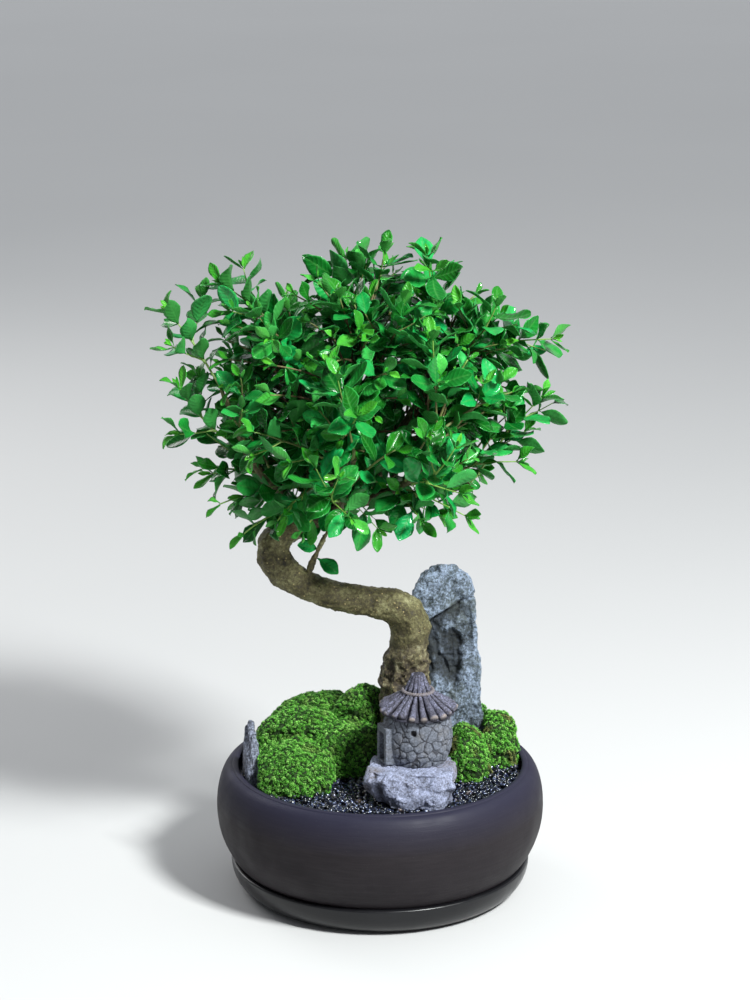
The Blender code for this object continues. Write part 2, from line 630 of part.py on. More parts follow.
def make_hut():
    """Round stone hut with a framed door and a window, under a thatched roof tied below its tuft."""
    place = base_stone_place()
    centre = Vector((place.x + HUT_OFFSET[0], place.y + HUT_OFFSET[1], HUT_LEVEL))
    bulge = ((0.94, 1.0), (0.99, 0.75), (1.0, 0.5), (0.97, 0.25))
    profile = [(HUT_RADIUS * across, HUT_WALL_HEIGHT * up) for across, up in bulge]
    profile = [(0.0, HUT_WALL_HEIGHT)] + profile + [(HUT_FOOT_RADIUS, 0.0), (0.0, 0.0)]
    walls = turned("hut_walls", profile, "hut_stone", steps=24)
    walls.location = centre
    middle = centre + toward(DOOR_AZIMUTH, (HUT_RADIUS + FRAME_PROUD) / 2)
    middle.z += FRAME_HEIGHT / 2 + GAP
    length = HUT_RADIUS + FRAME_PROUD
    frame = add_cutter("door_frame", block((length, FRAME_WIDTH, FRAME_HEIGHT), middle, DOOR_AZIMUTH))
    boolean(walls, frame, "UNION")
    middle = centre + toward(DOOR_AZIMUTH, length)
    middle.z += (DOOR_HEIGHT + FRAME_PROUD) / 2
    doorway = block((2 * DOOR_DEPTH, DOOR_WIDTH, DOOR_HEIGHT), middle, DOOR_AZIMUTH)
    boolean(walls, add_cutter("doorway", doorway))
    window_middle = centre + toward(WINDOW_AZIMUTH, HUT_RADIUS) + Vector((0, 0, WINDOW_HEIGHT))
    window = block((2 * WINDOW_DEPTH, WINDOW_SIDE, WINDOW_SIDE * 1.2), window_middle, WINDOW_AZIMUTH)
    boolean(walls, add_cutter("window", window))
    rings = [
        (HUT_EAVE_RADIUS - HUT_EAVE_THICKNESS, 0.0, 0.5),
        (HUT_EAVE_RADIUS, HUT_EAVE_THICKNESS * 0.5, 1.0),
        (HUT_EAVE_RADIUS * 0.97, HUT_EAVE_THICKNESS, 1.0),
        ((HUT_EAVE_RADIUS + HUT_TIE_RADIUS) / 2 - 0.0012, (HUT_EAVE_THICKNESS + HUT_TIE_HEIGHT) / 2, 0.9),
        (HUT_TIE_RADIUS - 0.0010, HUT_TIE_HEIGHT - 0.0010, 0.5),
        (HUT_TIE_RADIUS, HUT_TIE_HEIGHT, 0.1),
        (HUT_TIE_RADIUS - 0.0016, HUT_TIE_HEIGHT + 0.0014, 0.4),
        (HUT_APEX_RADIUS + 0.0012, HUT_ROOF_HEIGHT - 0.0030, 0.6),
        (HUT_APEX_RADIUS, HUT_ROOF_HEIGHT, 0.4),
    ]
    roof = add_object("hut_roof", ribbed_tube(rings, HUT_REEDS, REED_DEPTH), parts, "thatch")
    roof.location = Vector((centre.x, centre.y, ROOF_LEVEL))


def clip(bm, point, normal):
    """Keep what lies behind the plane, and close the cut."""
    geometry = bm.verts[:] + bm.edges[:] + bm.faces[:]
    cut = bmesh.ops.bisect_plane(bm, geom=geometry, plane_co=point, plane_no=normal,
                                 clear_outer=True, dist=1e-7)
    edges = [item for item in cut["geom_cut"] if isinstance(item, bmesh.types.BMEdge)]
    if edges:
        bmesh.ops.holes_fill(bm, edges=edges)


def reach_toward(half_sizes, way):
    """How far an ellipse of these half sizes reaches along a level unit vector."""
    return 1.0 / math.sqrt((way.x / half_sizes[0]) ** 2 + (way.y / half_sizes[1]) ** 2)


def shard_place():
    turn = math.radians(SHARD_AZIMUTH)
    reach = min(MOUTH_RADIUS, pot_inner_radius(GRAVEL_TOP - POT_BASE)) - SHARD_MARGIN
    return Vector((reach * math.cos(turn), reach * math.sin(turn), GRAVEL_TOP + GAP)), turn - math.pi


def moss_obstacles():
    """The corners, seen from above, of the upright things that moss grows round."""
    base = base_stone_place()
    root = Vector((TRUNK_X, TRUNK_Y, 0))
    shard, turn = shard_place()
    spin = Matrix.Rotation(turn, 3, "Z")
    obstacles = [
        [root + toward(360 * i / TRUNK_SIDES, CROWN_RADIUS) for i in range(TRUNK_SIDES)],
        [Vector(corner) + standing_stone_place() for corner in STANDING_CORNERS],
        [Vector(corner) + base for corner in BASE_STONE_CORNERS + BASE_STONE_TOP_CORNERS],
        [spin @ Vector(corner) + shard for corner in SHARD_CORNERS],
    ]
    return [[Vector((corner.x, corner.y, 0)) for corner in corners] for corners in obstacles]


def make_moss():
    """Moss cushions, each a low dome that stops at its neighbours."""
    centres = [Vector((x * MOUTH_RADIUS, y * MOUTH_RADIUS, 0)) for _, (x, y), _ in MOSS]
    reach = min(MOUTH_RADIUS, pot_inner_radius(GRAVEL_TOP - POT_BASE))
    for (name, _, half), centre in zip(MOSS, centres):
        bm = bmesh.new()
        shape = Matrix.Translation(centre + Vector((0, 0, GRAVEL_TOP + GAP))) @ Matrix.Diagonal((*half, 1.0))
        bmesh.ops.create_uvsphere(bm, u_segments=16, v_segments=8, radius=1.0, matrix=shape)
        clip(bm, Vector((0, 0, GRAVEL_TOP + GAP)), Vector((0, 0, -1)))
        for (_, _, other), place in zip(MOSS, centres):
            away = place - centre
            if away.length > 0:
                way = away.normalized()
                own, theirs = reach_toward(half, way), reach_toward(other, way)
                edge = away.length * own / (own + theirs) - GAP
                clip(bm, centre + way * edge, way)
        for corners in moss_obstacles():
            nearest = min(corners, key=lambda corner: (corner - centre).length)
            way = (sum(corners, Vector()) / len(corners) - centre).normalized()
            way = (way + (nearest - centre).normalized()).normalized()
            edge = min((corner - centre).dot(way) for corner in corners) - 2 * GAP
            clip(bm, centre + way * edge, way)
        for i in range(TURN_STEPS):
            way = toward(360 * i / TURN_STEPS, 1.0)
            clip(bm, way * (reach - MOSS_EDGE), way)
        add_object(name, bm, parts, "moss")


class Twig:
    """A four-sided twig along a curve, its leaves and its side twigs."""

    def __init__(self, start, control, end, radius, bare):
        self.start, self.control, self.end = start, control, end
        self.radius = radius
        self.length = (2 * (end - start).length + (control - start).length + (end - control).length) / 3
        count = max(1, round(self.length * (1 - bare) / NODE_SPACING))
        self.stations = [bare + (1 - bare) * (i + 0.5) / (count + 0.25) for i in range(count)]
        self.root_way = self.way(0.0)
        self.root_axes = ring_axes(self.root_way)
        self.leaves = []
        self.sides = []

    def at(self, share):
        a = self.start.lerp(self.control, share)
        b = self.control.lerp(self.end, share)
        return a.lerp(b, share)

    def way(self, share):
        a = self.start.lerp(self.control, share)
        b = self.control.lerp(self.end, share)
        return (b - a).normalized()

    def radius_at(self, share):
        return self.radius + (TWIG_TIP_RADIUS - self.radius) * share

    def faces(self, share):
        """The directions that the twig's four sides look in."""
        turn = self.root_way.rotation_difference(self.way(share))
        first, second = (turn @ axis for axis in self.root_axes)
        return [(first + second).normalized(), (second - first).normalized(),
                (-first - second).normalized(), (first - second).normalized()]


class Leaf:
    """One leaf: the side of the twig it leaves, the way it points, the way its face looks, its length."""

    def __init__(self, station, out, base, way, face, length):
        self.station, self.out, self.base, self.way, self.length = station, out, base, way, length
        self.across = way.cross(face).normalized()
        self.face = self.across.cross(way).normalized()
        self.width = length * LEAF_SHAPE


def shape_of(points, faces):
    """(centre, reach, tree) of a small closed shape, to test whether two shapes cross."""
    centre = sum(points, Vector()) / len(points)
    reach = max((p - centre).length for p in points)
    return centre, reach, BVHTree.FromPolygons(points, faces)


def leaf_room(leaf, first, thickness):
    """The room of a leaf, from a share of its length to its tip."""
    outline = ((first, 0.10), (0.55, 0.50), (1.0, 0.04))
    rings = []
    for along, half in outline:
        middle = leaf.base + leaf.way * (leaf.length * along)
        side = leaf.across * (leaf.width * half)
        rise = leaf.face * (thickness / 2)
        low, high = middle - rise, middle + rise
        rings.append((low - side, low + side, high + side, high - side))
    points = [p for ring in rings for p in ring]
    faces = [(0, 1, 2, 3), (8, 9, 10, 11)]
    for i in range(len(outline) - 1):
        for j in range(4):
            k = (j + 1) % 4
            faces.append((4 * i + j, 4 * i + k, 4 * i + 4 + k, 4 * i + 4 + j))
    return shape_of(points, faces)


def tube_room(points, radii):
    """The three-sided room round each stretch of a branch or twig."""
    rooms = []
    for a, b, r, s in zip(points, points[1:], radii, radii[1:]):
        across, up = ring_axes((b - a).normalized())
        corners = []
        for end, radius in ((a, r), (b, s)):
            for i in range(3):
                turn = 2 * math.pi * i / 3
                corners.append(end + (across * math.cos(turn) + up * math.sin(turn)) * (radius * 1.7))
        rooms.append(shape_of(corners, [(0, 1, 4, 3), (1, 2, 5, 4), (2, 0, 3, 5), (0, 1, 2), (3, 4, 5)]))
    return rooms


def twig_rooms(twig, first=0.0):
    shares = [first + (1 - first) * i / 6 for i in range(7)]
    return tube_room([twig.at(s) for s in shares], [twig.radius_at(s) + GAP for s in shares])


def crosses(room, rooms):
    """Whether a room crosses any of the others."""
    centre, reach, tree = room
    return any(
        (centre - other).length < reach + far and tree.overlap(found)
        for other, far, found in rooms
    )


class Crown:
    """The room that the wood and each spray fill, so that no two of them cross.

    A spray keeps clear of all of the others, but of its own twigs and leaves only where they are
    past the joints that hold them together.
    """

    def __init__(self, wood):
        self.whole = {"wood": wood}
        self.free = {}

    def has_room(self, owner, whole, free):
        others = [room for who, found in self.whole.items() if who != owner for room in found]
        if any(crosses(room, others) for room in whole):
            return False
        return not any(crosses(room, self.free.get(owner, [])) for room in free)

    def add(self, owner, whole, free):
        self.whole.setdefault(owner, []).extend(whole)
        self.free.setdefault(owner, []).extend(free)


def spray_tips():
    """Where the sprays end: the leading ones, then others spread evenly over the rest of the crown."""
    centre = Vector(CROWN_CENTRE) + Vector((0, 0, GRAVEL_TOP))
    rows = list(LEADING_SPRAYS)

    def unit(azimuth, elevation):
        turn, rise = math.radians(azimuth), math.radians(elevation)
        return Vector((math.cos(turn) * math.cos(rise), math.sin(turn) * math.cos(rise), math.sin(rise)))

    golden = math.degrees(math.pi * (3 - math.sqrt(5)))
    candidates = []
    total = 4 * SPRAY_COUNT
    for i in range(total):
        elevation = math.degrees(math.asin(1 - 2 * (i + 0.5) / total))
        candidates.append((i * golden % 360, elevation, EVEN_REACH))
    candidates = [row for row in candidates if row[1] > LOWEST_ELEVATION]
    while len(rows) < SPRAY_COUNT:
        best = max(candidates, key=lambda row: min(unit(*row[:2]).angle(unit(*used[:2])) for used in rows))
        rows.append(best)
        candidates.remove(best)
    tips = []
    for azimuth, elevation, reach in rows:
        way = unit(azimuth, elevation)
        tips.append(centre + Vector(tuple(w * size * reach for w, size in zip(way, CROWN_REACH))))
    return tips


def start_point(tip, taken):
    """The place on a limb that suits a spray ending at the tip: (centre of the limb, its radius)."""
    best = None
    low = Vector(CROWN_CENTRE) + Vector((0, 0, GRAVEL_TOP - CROWN_REACH[2] * FAN_DEPTH))
    for name, path, radii in limb_lines():
        for share, (point, radius) in enumerate(zip(path, radii)):
            if share < 2 and name != "low":
                continue
            length = (tip - point).length
            outward = (tip - point).normalized().dot((point - low).normalized())
            crowd = sum(1 for used in taken if (used - point).length < CROWD_REACH)
            cost = abs(length - SPRAY_LENGTH) - OUTWARD_WEIGHT * outward + CROWD_WEIGHT * crowd
            if best is None or cost < best[0]:
                best = (cost, point, radius)
    return best[1], best[2]


def plan_sprays():
    """The main twig of each spray, then its side twigs, then the leaves that find room."""
    rng = random.Random(SEED)
    points, radii = trunk_line()
    wood = tube_room(points, [r * 0.75 for r in radii])
    for _, path, limb_radii in limb_lines():
        wood += tube_room(path, [r + GAP for r in limb_radii])
    crown = Crown(wood)
    sprays, taken = [], []
    for tip in spray_tips():
        limb_point, limb_radius = start_point(tip, taken)
        taken.append(limb_point)
        for attempt in range(SPRAY_TRIES):
            jitter = Vector([rng.uniform(-1, 1) for _ in range(3)]) * (JITTER + JITTER_STEP * attempt)
            bend = limb_point.lerp(tip, 0.5) + Vector((0, 0, SPRAY_RISE)) + jitter
            way = (bend - limb_point).normalized()
            start = limb_point + way * (limb_radius * LIMB_CLEARANCE + TWIG_RADIUS + 2 * GAP)
            twig = Twig(start, bend, tip + jitter * 0.3, TWIG_RADIUS, BARE_SHARE)
            own = twig_rooms(twig)
            if crown.has_room(len(sprays), own, []):
                break
        else:
            raise RuntimeError("a spray found no way through the crown")
        crown.add(len(sprays), own, own)
        sprays.append(twig)
    for owner, twig in enumerate(sprays):
        for number, station in enumerate(twig.stations[:-1]):
            if number % SIDE_TWIG_EVERY == 0:
                add_side_twig(twig, station, 2 * (number % 2) + 1, crown, owner, rng)
    for owner, twig in enumerate(sprays):
        blades = []
        for branch in [twig] + twig.sides:
            add_leaves(branch, crown, owner, blades, rng)
    return sprays


def add_side_twig(twig, station, first_side, crown, owner, rng):
    """A side twig from one of the two sides that the leaves leave free."""
    along, faces = twig.way(station), twig.faces(station)
    for attempt in range(LEAF_TRIES):
        out = faces[(first_side + 2 * (attempt % 2)) % 4]
        lean = math.radians(rng.uniform(42, 62))
        way = (along * math.cos(lean) + out * math.sin(lean)).normalized()
        base = twig.at(station) + out * (twig.radius_at(station) / math.sqrt(2))
        end = base + (way + Vector((0, 0, 0.15))).normalized() * (SIDE_TWIG_LENGTH * rng.uniform(0.8, 1.15))
        shoot = Twig(base, base.lerp(end, 0.5) + out * 0.002, end, twig.radius_at(station) * 0.8, 0.22)
        whole, free = twig_rooms(shoot), twig_rooms(shoot, 0.2)
        if crown.has_room(owner, whole, free):
            turn = out.rotation_difference(shoot.root_way)
            level = out.cross(along)
            shoot.root_axes = (turn @ (along + level).normalized(), turn @ (level - along).normalized())
            shoot.station, shoot.out = station, out
            twig.sides.append(shoot)
            crown.add(owner, whole, free)
            return


def add_leaves(twig, crown, owner, blades, rng):
    """Opposite pairs of leaves, each pair a quarter turn from the last, and a pair at the tip."""
    shoots = {shoot.station: shoot for shoot in twig.sides}
    for number, station in reversed(list(enumerate(twig.stations + [1.0]))):
        along, faces = twig.way(station), twig.faces(station)
        is_tip = station == 1.0
        size = LEAF_LENGTH * (0.68 if is_tip else rng.uniform(0.86, 1.12))
        sides = faces[number % 2::2]
        if station in shoots:
            sides = [out for out in faces if abs(out.dot(shoots[station].out)) < 0.5]
        for out in sides:
            for attempt in range(LEAF_TRIES):
                lean = math.radians((TIP_LEAF_ANGLE if is_tip else LEAF_ANGLE) + rng.uniform(-9, 9))
                way = (along * math.cos(lean) + out * math.sin(lean)).normalized()
                face = along * math.sin(lean) - out * math.cos(lean)
                upright = (Vector((0, 0, 1)) - way * way.z)
                twist = math.copysign(LEAF_TWIST * rng.random(), face.cross(upright).dot(way))
                face = Matrix.Rotation(math.radians(twist), 3, way) @ face
                start = twig.at(station) + out * (twig.radius_at(station) / math.sqrt(2))
                leaf = Leaf(station, out, start, way, face, size * (1 - 0.04 * attempt))
                blade = leaf_room(leaf, 0.03, LEAF_THICKNESS)
                if crosses(blade, blades):
                    continue
                whole, free = [leaf_room(leaf, 0.0, LEAF_ROOM)], [leaf_room(leaf, 0.16, LEAF_ROOM)]
                if crown.has_room(owner, whole, free):
                    crown.add(owner, whole, free)
                    blades.append(blade)
                    twig.leaves.append(leaf)
                    break


def side_faces(cap):
    """Faces round an end face, other than itself."""
    return [face for edge in cap.edges for face in edge.link_faces if face is not cap]


def corner_order(verts, corners):
    """The corners, turned so that each lies nearest its vertex."""
    turns = [corners[i:] + corners[:i] for i in range(4)]
    return min(turns, key=lambda row: sum((v.co - c).length for v, c in zip(verts, row)))


def grow_leaf(bm, face, leaf):
    """Extrude a face of a twig into a flat leaf with a pointed tip."""
    feet = list(face.verts)
    blade = bmesh.ops.extrude_discrete_faces(bm, faces=[face])["faces"][0]
    middle = leaf.base + leaf.way * (leaf.length * 0.55)
    side, rise = leaf.across * (leaf.width / 2), leaf.face * (LEAF_THICKNESS / 2)
    corners = [middle - side - rise, middle - side + rise, middle + side + rise, middle + side - rise]
    verts = list(blade.verts)
    ordered = corner_order(verts, corners)
    for vert, corner in zip(verts, ordered):
        vert.co = corner
    for low, high in ((0, 3), (1, 2)):
        ends = [feet[ordered.index(corners[low])], verts[ordered.index(corners[high])]]
        bmesh.ops.connect_vert_pair(bm, verts=ends)
    point = bmesh.ops.extrude_discrete_faces(bm, faces=[blade])["faces"][0]
    bmesh.ops.pointmerge(bm, verts=list(point.verts), merge_co=leaf.base + leaf.way * leaf.length)


def take_side(free, out):
    """The free side face that looks most nearly outward, taken off the list."""
    face = max(free, key=lambda f: f.normal.dot(out))
    free.remove(face)
    return face


def grow_twig(bm, cap, twig, centre, way, radius):
    """Extrude an end face along a twig, with a short collar and its leaves at each station."""
    for station in twig.stations + [1.0]:
        half = NODE_LENGTH / 2 / twig.length
        middle = station - half if station == 1.0 else station
        for share in (middle - half, middle + half):
            place, along, thick = twig.at(share), twig.way(share), twig.radius_at(share)
            cap = extend(bm, cap, place, along, thick, centre, way, radius)
            centre, way, radius = place, along, thick
        free = side_faces(cap)
        for face in free:
            face.normal_update()
        for leaf in twig.leaves:
            if leaf.station == station:
                grow_leaf(bm, take_side(free, leaf.out), leaf)
        for side in twig.sides:
            if side.station == station:
                face = take_side(free, side.out)
                corner, out = face.calc_center_median(), face.normal.copy()
                size = sum((v.co - corner).length for v in face.verts) / len(face.verts)
                foot = side.at(0.12)
                bud = extend(bm, face, foot, side.way(0.12), side.radius, corner, out, size)
                grow_twig(bm, bud, side, foot, side.way(0.12), side.radius)


def make_sprays():
    for number, twig in enumerate(plan_sprays(), 1):
        bm = bmesh.new()
        first, second = twig.root_axes
        axes = Matrix((first, second, twig.root_way)).transposed().to_4x4()
        place = Matrix.Translation(twig.start + twig.root_way * (NODE_LENGTH / 2)) @ axes
        bmesh.ops.create_cone(bm, cap_ends=True, segments=4, radius1=twig.radius, radius2=twig.radius,
                              depth=NODE_LENGTH, matrix=place)
        bm.normal_update()
        cap = max(bm.faces, key=lambda f: f.normal.dot(twig.root_way))
        grow_twig(bm, cap, twig, twig.start + twig.root_way * NODE_LENGTH, twig.root_way, twig.radius)
        add_object(f"spray_{number:02d}", bm, parts, "leaf")


clear_scene()
parts = make_collection("privet_bonsai")
limbs = make_collection("limbs")
cutters = make_collection("cutters")
limbs.hide_render = True
cutters.hide_render = True

make_saucer()
make_pot()
make_drain_screen()
soil_body = make_soil()
gravel_layer = make_gravel()
make_trunk(soil_body, gravel_layer)
make_stones(soil_body, gravel_layer)
make_hut()
make_moss()
make_sprays()
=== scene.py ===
"""Looks of the privet bonsai: every surface is made here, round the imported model's pieces."""

import itertools
import math
import random

import bmesh
import bpy
import numpy as np
from mathutils import Matrix, Vector, noise
from mathutils.bvhtree import BVHTree


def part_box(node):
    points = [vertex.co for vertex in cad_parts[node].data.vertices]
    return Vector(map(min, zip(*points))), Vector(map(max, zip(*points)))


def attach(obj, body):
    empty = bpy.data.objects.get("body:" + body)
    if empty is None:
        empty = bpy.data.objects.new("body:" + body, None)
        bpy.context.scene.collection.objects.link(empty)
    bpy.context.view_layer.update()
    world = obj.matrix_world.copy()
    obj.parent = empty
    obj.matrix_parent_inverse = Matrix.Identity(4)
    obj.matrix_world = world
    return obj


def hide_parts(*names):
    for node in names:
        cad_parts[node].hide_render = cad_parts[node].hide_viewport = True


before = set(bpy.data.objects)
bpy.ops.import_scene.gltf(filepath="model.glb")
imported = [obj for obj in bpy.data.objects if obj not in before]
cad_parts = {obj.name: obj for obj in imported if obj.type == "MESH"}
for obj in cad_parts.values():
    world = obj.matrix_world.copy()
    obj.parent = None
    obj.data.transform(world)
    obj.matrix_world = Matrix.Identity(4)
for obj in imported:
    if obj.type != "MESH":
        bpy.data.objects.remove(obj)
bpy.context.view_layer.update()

ROOT = "root"
# Corners of the frame's nodes this close together are one corner.
WELD = 0.00001
SEED = 7
# Random turns are drawn from 0 to this, just over a full turn.
ANY_TURN = 6.3
# The radius of the pot's mouth, as a share of its widest.
MOUTH_SHARE = 0.8664

# Camera: a long lens on the front of the planting, a little above it.
LENS_MM = 100.0
SENSOR_MM = 36.0
CAMERA_PLACE = (-0.0034, -1.754, 0.7576)
CAMERA_DOWN = 15.62


# ---------------------------------------------------------------- shared helpers

def object_of(name, mesh, finish, replaced, smooth=True):
    """A piece of the object, riding on its only body, in place of nodes of the frame."""
    piece = bpy.data.objects.new(name, mesh)
    bpy.context.scene.collection.objects.link(piece)
    mesh.materials.append(finish)
    if smooth:
        mesh.shade_smooth()
    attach(piece, ROOT)
    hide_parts(*replaced)


def mesh_of(name, bm):
    mesh = bpy.data.meshes.new(name)
    bm.to_mesh(mesh)
    bm.free()
    return mesh


def mesh_from_arrays(name, points, faces):
    """A mesh from an array of points and one of faces that all have as many corners."""
    mesh = bpy.data.meshes.new(name)
    count, corners = faces.shape
    mesh.vertices.add(len(points))
    mesh.vertices.foreach_set("co", points.astype(np.float32).ravel())
    mesh.loops.add(count * corners)
    mesh.loops.foreach_set("vertex_index", faces.astype(np.int32).ravel())
    mesh.polygons.add(count)
    mesh.polygons.foreach_set("loop_start", np.arange(0, count * corners, corners, dtype=np.int32))
    mesh.update(calc_edges=True)
    return mesh


def cad_mesh(name):
    """A welded copy of a node of the frame."""
    bm = bmesh.new()
    bm.from_mesh(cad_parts[name].data)
    bmesh.ops.remove_doubles(bm, verts=bm.verts[:], dist=WELD)
    return bm


def cad_tree(name):
    bm = cad_mesh(name)
    tree = BVHTree.FromBMesh(bm)
    bm.free()
    return tree


def modified(mesh, *modifiers):
    """A new mesh: this one after (kind, settings) modifiers."""
    holder = bpy.data.objects.new("holder", mesh)
    bpy.context.scene.collection.objects.link(holder)
    for kind, settings in modifiers:
        modifier = holder.modifiers.new(kind, kind)
        for key, value in settings.items():
            setattr(modifier, key, value)
    made = bpy.data.meshes.new_from_object(holder.evaluated_get(bpy.context.evaluated_depsgraph_get()))
    bpy.data.objects.remove(holder)
    return made


def remeshed(bm, voxel, smoothing):
    """The shape on an even grid, its corners rounded off."""
    return modified(mesh_of("block", bm), ("REMESH", {"mode": "VOXEL", "voxel_size": voxel}),
                    ("SMOOTH", {"factor": 0.5, "iterations": smoothing}))


def subdivided(mesh):
    return modified(mesh, ("SUBSURF", {"levels": 1, "render_levels": 1}))


def vectors(mesh, kind):
    """The points ("co") or normals ("normal") of a mesh as an array of rows."""
    found = np.empty(len(mesh.vertices) * 3, dtype=np.float32)
    mesh.vertices.foreach_get(kind, found)
    return found.reshape(-1, 3)


def displace(mesh, height):
    """Move each point along its normal by height(point, normal), and return those lengths."""
    points, ways = vectors(mesh, "co"), vectors(mesh, "normal")
    rises = np.array([height(Vector(p), Vector(n)) for p, n in zip(points, ways)], dtype=np.float32)
    mesh.vertices.foreach_set("co", (points + ways * rises[:, None]).ravel())
    mesh.update()
    return rises


def add_float(mesh, name, values):
    """Keep a value of 0 to 1 on every point, for the materials."""
    layer = mesh.attributes.new(name, "FLOAT", "POINT")
    layer.data.foreach_set("value", np.clip(np.asarray(values, dtype=np.float32), 0, 1))


def fractal(point, size, octaves=4, gain=0.5):
    """Layered noise of about -1 to 1, whose largest lumps are of the given size."""
    return noise.fractal(point / size, gain, 2.0, octaves)


def ridges(point, size, octaves=3):
    """Noise of 0 to 1 with sharp crests."""
    total, reach, weight, scale = 0.0, 0.0, 1.0, 1.0
    for _ in range(octaves):
        total += weight * (1 - abs(noise.noise(point / size * scale)) * 1.6)
        reach += weight
        weight *= 0.5
        scale *= 2.1
    return total / reach


EDGE_SHARPNESS = 16.0


def facets(point, size, tilt):
    """Chipped planes of about the given size, each tilted its own way, that meet in edges; as a length."""
    place = point / size
    distances, centres = noise.voronoi(place)
    total, weights = 0.0, 0.0
    for distance, centre in zip(distances, centres):
        weight = math.exp(EDGE_SHARPNESS * (distances[0] - distance))
        way = noise.cell_vector(centre * 7.3) - Vector((0.5, 0.5, 0.5))
        total += weight * ((place - centre).dot(way) + way.z * 0.5)
        weights += weight
    return total / weights * 2 * tilt * size


def step(low, high, value):
    """0 below low, 1 above high, smooth between."""
    share = min(1.0, max(0.0, (value - low) / (high - low)))
    return share * share * (3 - 2 * share)


def turned_mesh(name, profile, steps):
    """A closed turned mesh from (radius, height) points that start and end on the axis."""
    rows = len(profile)
    turns = np.arange(steps) / steps * 2 * math.pi
    rings = [np.stack([r * np.cos(turns), r * np.sin(turns), np.full(steps, z)], axis=1) for r, z in profile]
    faces = []
    for i in range(rows - 1):
        for j in range(steps):
            k = (j + 1) % steps
            faces.append((i * steps + j, (i + 1) * steps + j, (i + 1) * steps + k, i * steps + k))
    mesh = mesh_from_arrays(name, np.concatenate(rings), np.array(faces))
    bm = bmesh.new()
    bm.from_mesh(mesh)
    bmesh.ops.remove_doubles(bm, verts=bm.verts[:], dist=WELD)
    bmesh.ops.dissolve_degenerate(bm, edges=bm.edges[:], dist=WELD)
    if bm.calc_volume(signed=True) < 0:
        bmesh.ops.reverse_faces(bm, faces=bm.faces[:])
    bm.to_mesh(mesh)
    bm.free()
    return mesh


def rounded(points, radius, pieces=4):
    """An open outline with its inner corners rounded by up to a radius."""
    path = [points[0]]
    for before, corner, after in zip(points, points[1:], points[2:]):
        corner = Vector(corner)
        back, on = Vector(before) - corner, Vector(after) - corner
        reach = min(radius, back.length * 0.45, on.length * 0.45)
        first, last = corner + back.normalized() * reach, corner + on.normalized() * reach
        for i in range(pieces + 1):
            t = i / pieces
            path.append(tuple(first.lerp(corner, t).lerp(corner.lerp(last, t), t)))
    path.append(points[-1])
    return path


# ---------------------------------------------------------------- materials

class Paint:
    """A material being built: short names for the shader nodes it needs."""

    def __init__(self, name, **values):
        self.material = bpy.data.materials.new(name)
        self.material.use_nodes = True
        self.tree = self.material.node_tree
        self.shader = self.tree.nodes["Principled BSDF"]
        for key, value in values.items():
            self.shader.inputs[key.replace("_", " ")].default_value = value
        self.place = self.node("ShaderNodeTexCoord").outputs["Object"]

    def node(self, kind, settings=None, **inputs):
        made = self.tree.nodes.new(kind)
        for key, value in (settings or {}).items():
            setattr(made, key, value)
        for key, value in inputs.items():
            self.feed(made.inputs[key.replace("_", " ")], value)
        return made

    def feed(self, socket, value):
        if isinstance(value, bpy.types.NodeSocket):
            self.tree.links.new(value, socket)
        else:
            socket.default_value = value

    def set(self, name, value):
        self.feed(self.shader.inputs[name], value)

    def stretched(self, scale, turn=(0.0, 0.0, 0.0)):
        """The object's coordinates, scaled and turned."""
        return self.node("ShaderNodeMapping", Vector=self.place, Scale=scale, Rotation=turn).outputs["Vector"]

    def noise(self, size, detail=4.0, rough=0.5, vector=None, warp=0.0):
        return self.node("ShaderNodeTexNoise", Vector=vector or self.place, Scale=1.0 / size, Detail=detail,
                         Roughness=rough, Distortion=warp).outputs["Fac"]

    def cells(self, size, vector=None):
        """The distance to the nearest of many scattered points."""
        return self.node("ShaderNodeTexVoronoi", Vector=vector or self.place, Scale=1.0 / size).outputs["Distance"]

    def ramp(self, value, *stops):
        """Colours or greys at shares of 0 to 1."""
        made = self.node("ShaderNodeValToRGB", Fac=value)
        elements = made.color_ramp.elements
        while len(elements) < len(stops):
            elements.new(0.5)
        for element, (place, colour) in zip(elements, stops):
            element.position = place
            grey = isinstance(colour, (int, float))
            element.color = (colour, colour, colour, 1.0) if grey else (*colour, 1.0)
        return made.outputs["Color"]

    def mix(self, share, first, second, blend="MIX"):
        made = self.node("ShaderNodeMix", {"data_type": "RGBA", "blend_type": blend})
        self.feed(made.inputs["Factor"], share)
        for socket, value in ((made.inputs[6], first), (made.inputs[7], second)):
            self.feed(socket, (*value, 1.0) if isinstance(value, tuple) and len(value) == 3 else value)
        return made.outputs[2]

    def math(self, operation, first, second=0.0):
        made = self.node("ShaderNodeMath", {"operation": operation})
        self.feed(made.inputs[0], first)
        self.feed(made.inputs[1], second)
        return made.outputs[0]

    def times(self, first, second):
        return self.math("MULTIPLY", first, second)

    def bump(self, height, distance, strength=1.0, under=None):
        made = self.node("ShaderNodeBump", Height=height, Distance=distance, Strength=strength)
        if under:
            self.feed(made.inputs["Normal"], under)
        return made.outputs["Normal"]

    def island(self):
        """A random number for each loose piece of a mesh."""
        return self.node("ShaderNodeNewGeometry").outputs["Random Per Island"]

    def attribute(self, name):
        return self.node("ShaderNodeAttribute", {"attribute_name": name}).outputs["Fac"]

    def height_share(self, low, high):
        """0 at and below one height of the object, 1 at and above another."""
        z = self.node("ShaderNodeSeparateXYZ", Vector=self.place).outputs["Z"]
        return self.node("ShaderNodeMapRange", Value=z, From_Min=low, From_Max=high).outputs["Result"]

    def finished(self, colour, roughness, *bumps):
        """The material, once its colour, roughness and (height, distance, strength) bumps are fed in."""
        self.set("Base Color", colour)
        self.set("Roughness", roughness)
        normal = None
        for height, distance, strength in bumps:
            normal = self.bump(height, distance, strength, normal)
        self.set("Normal", normal)
        return self.material


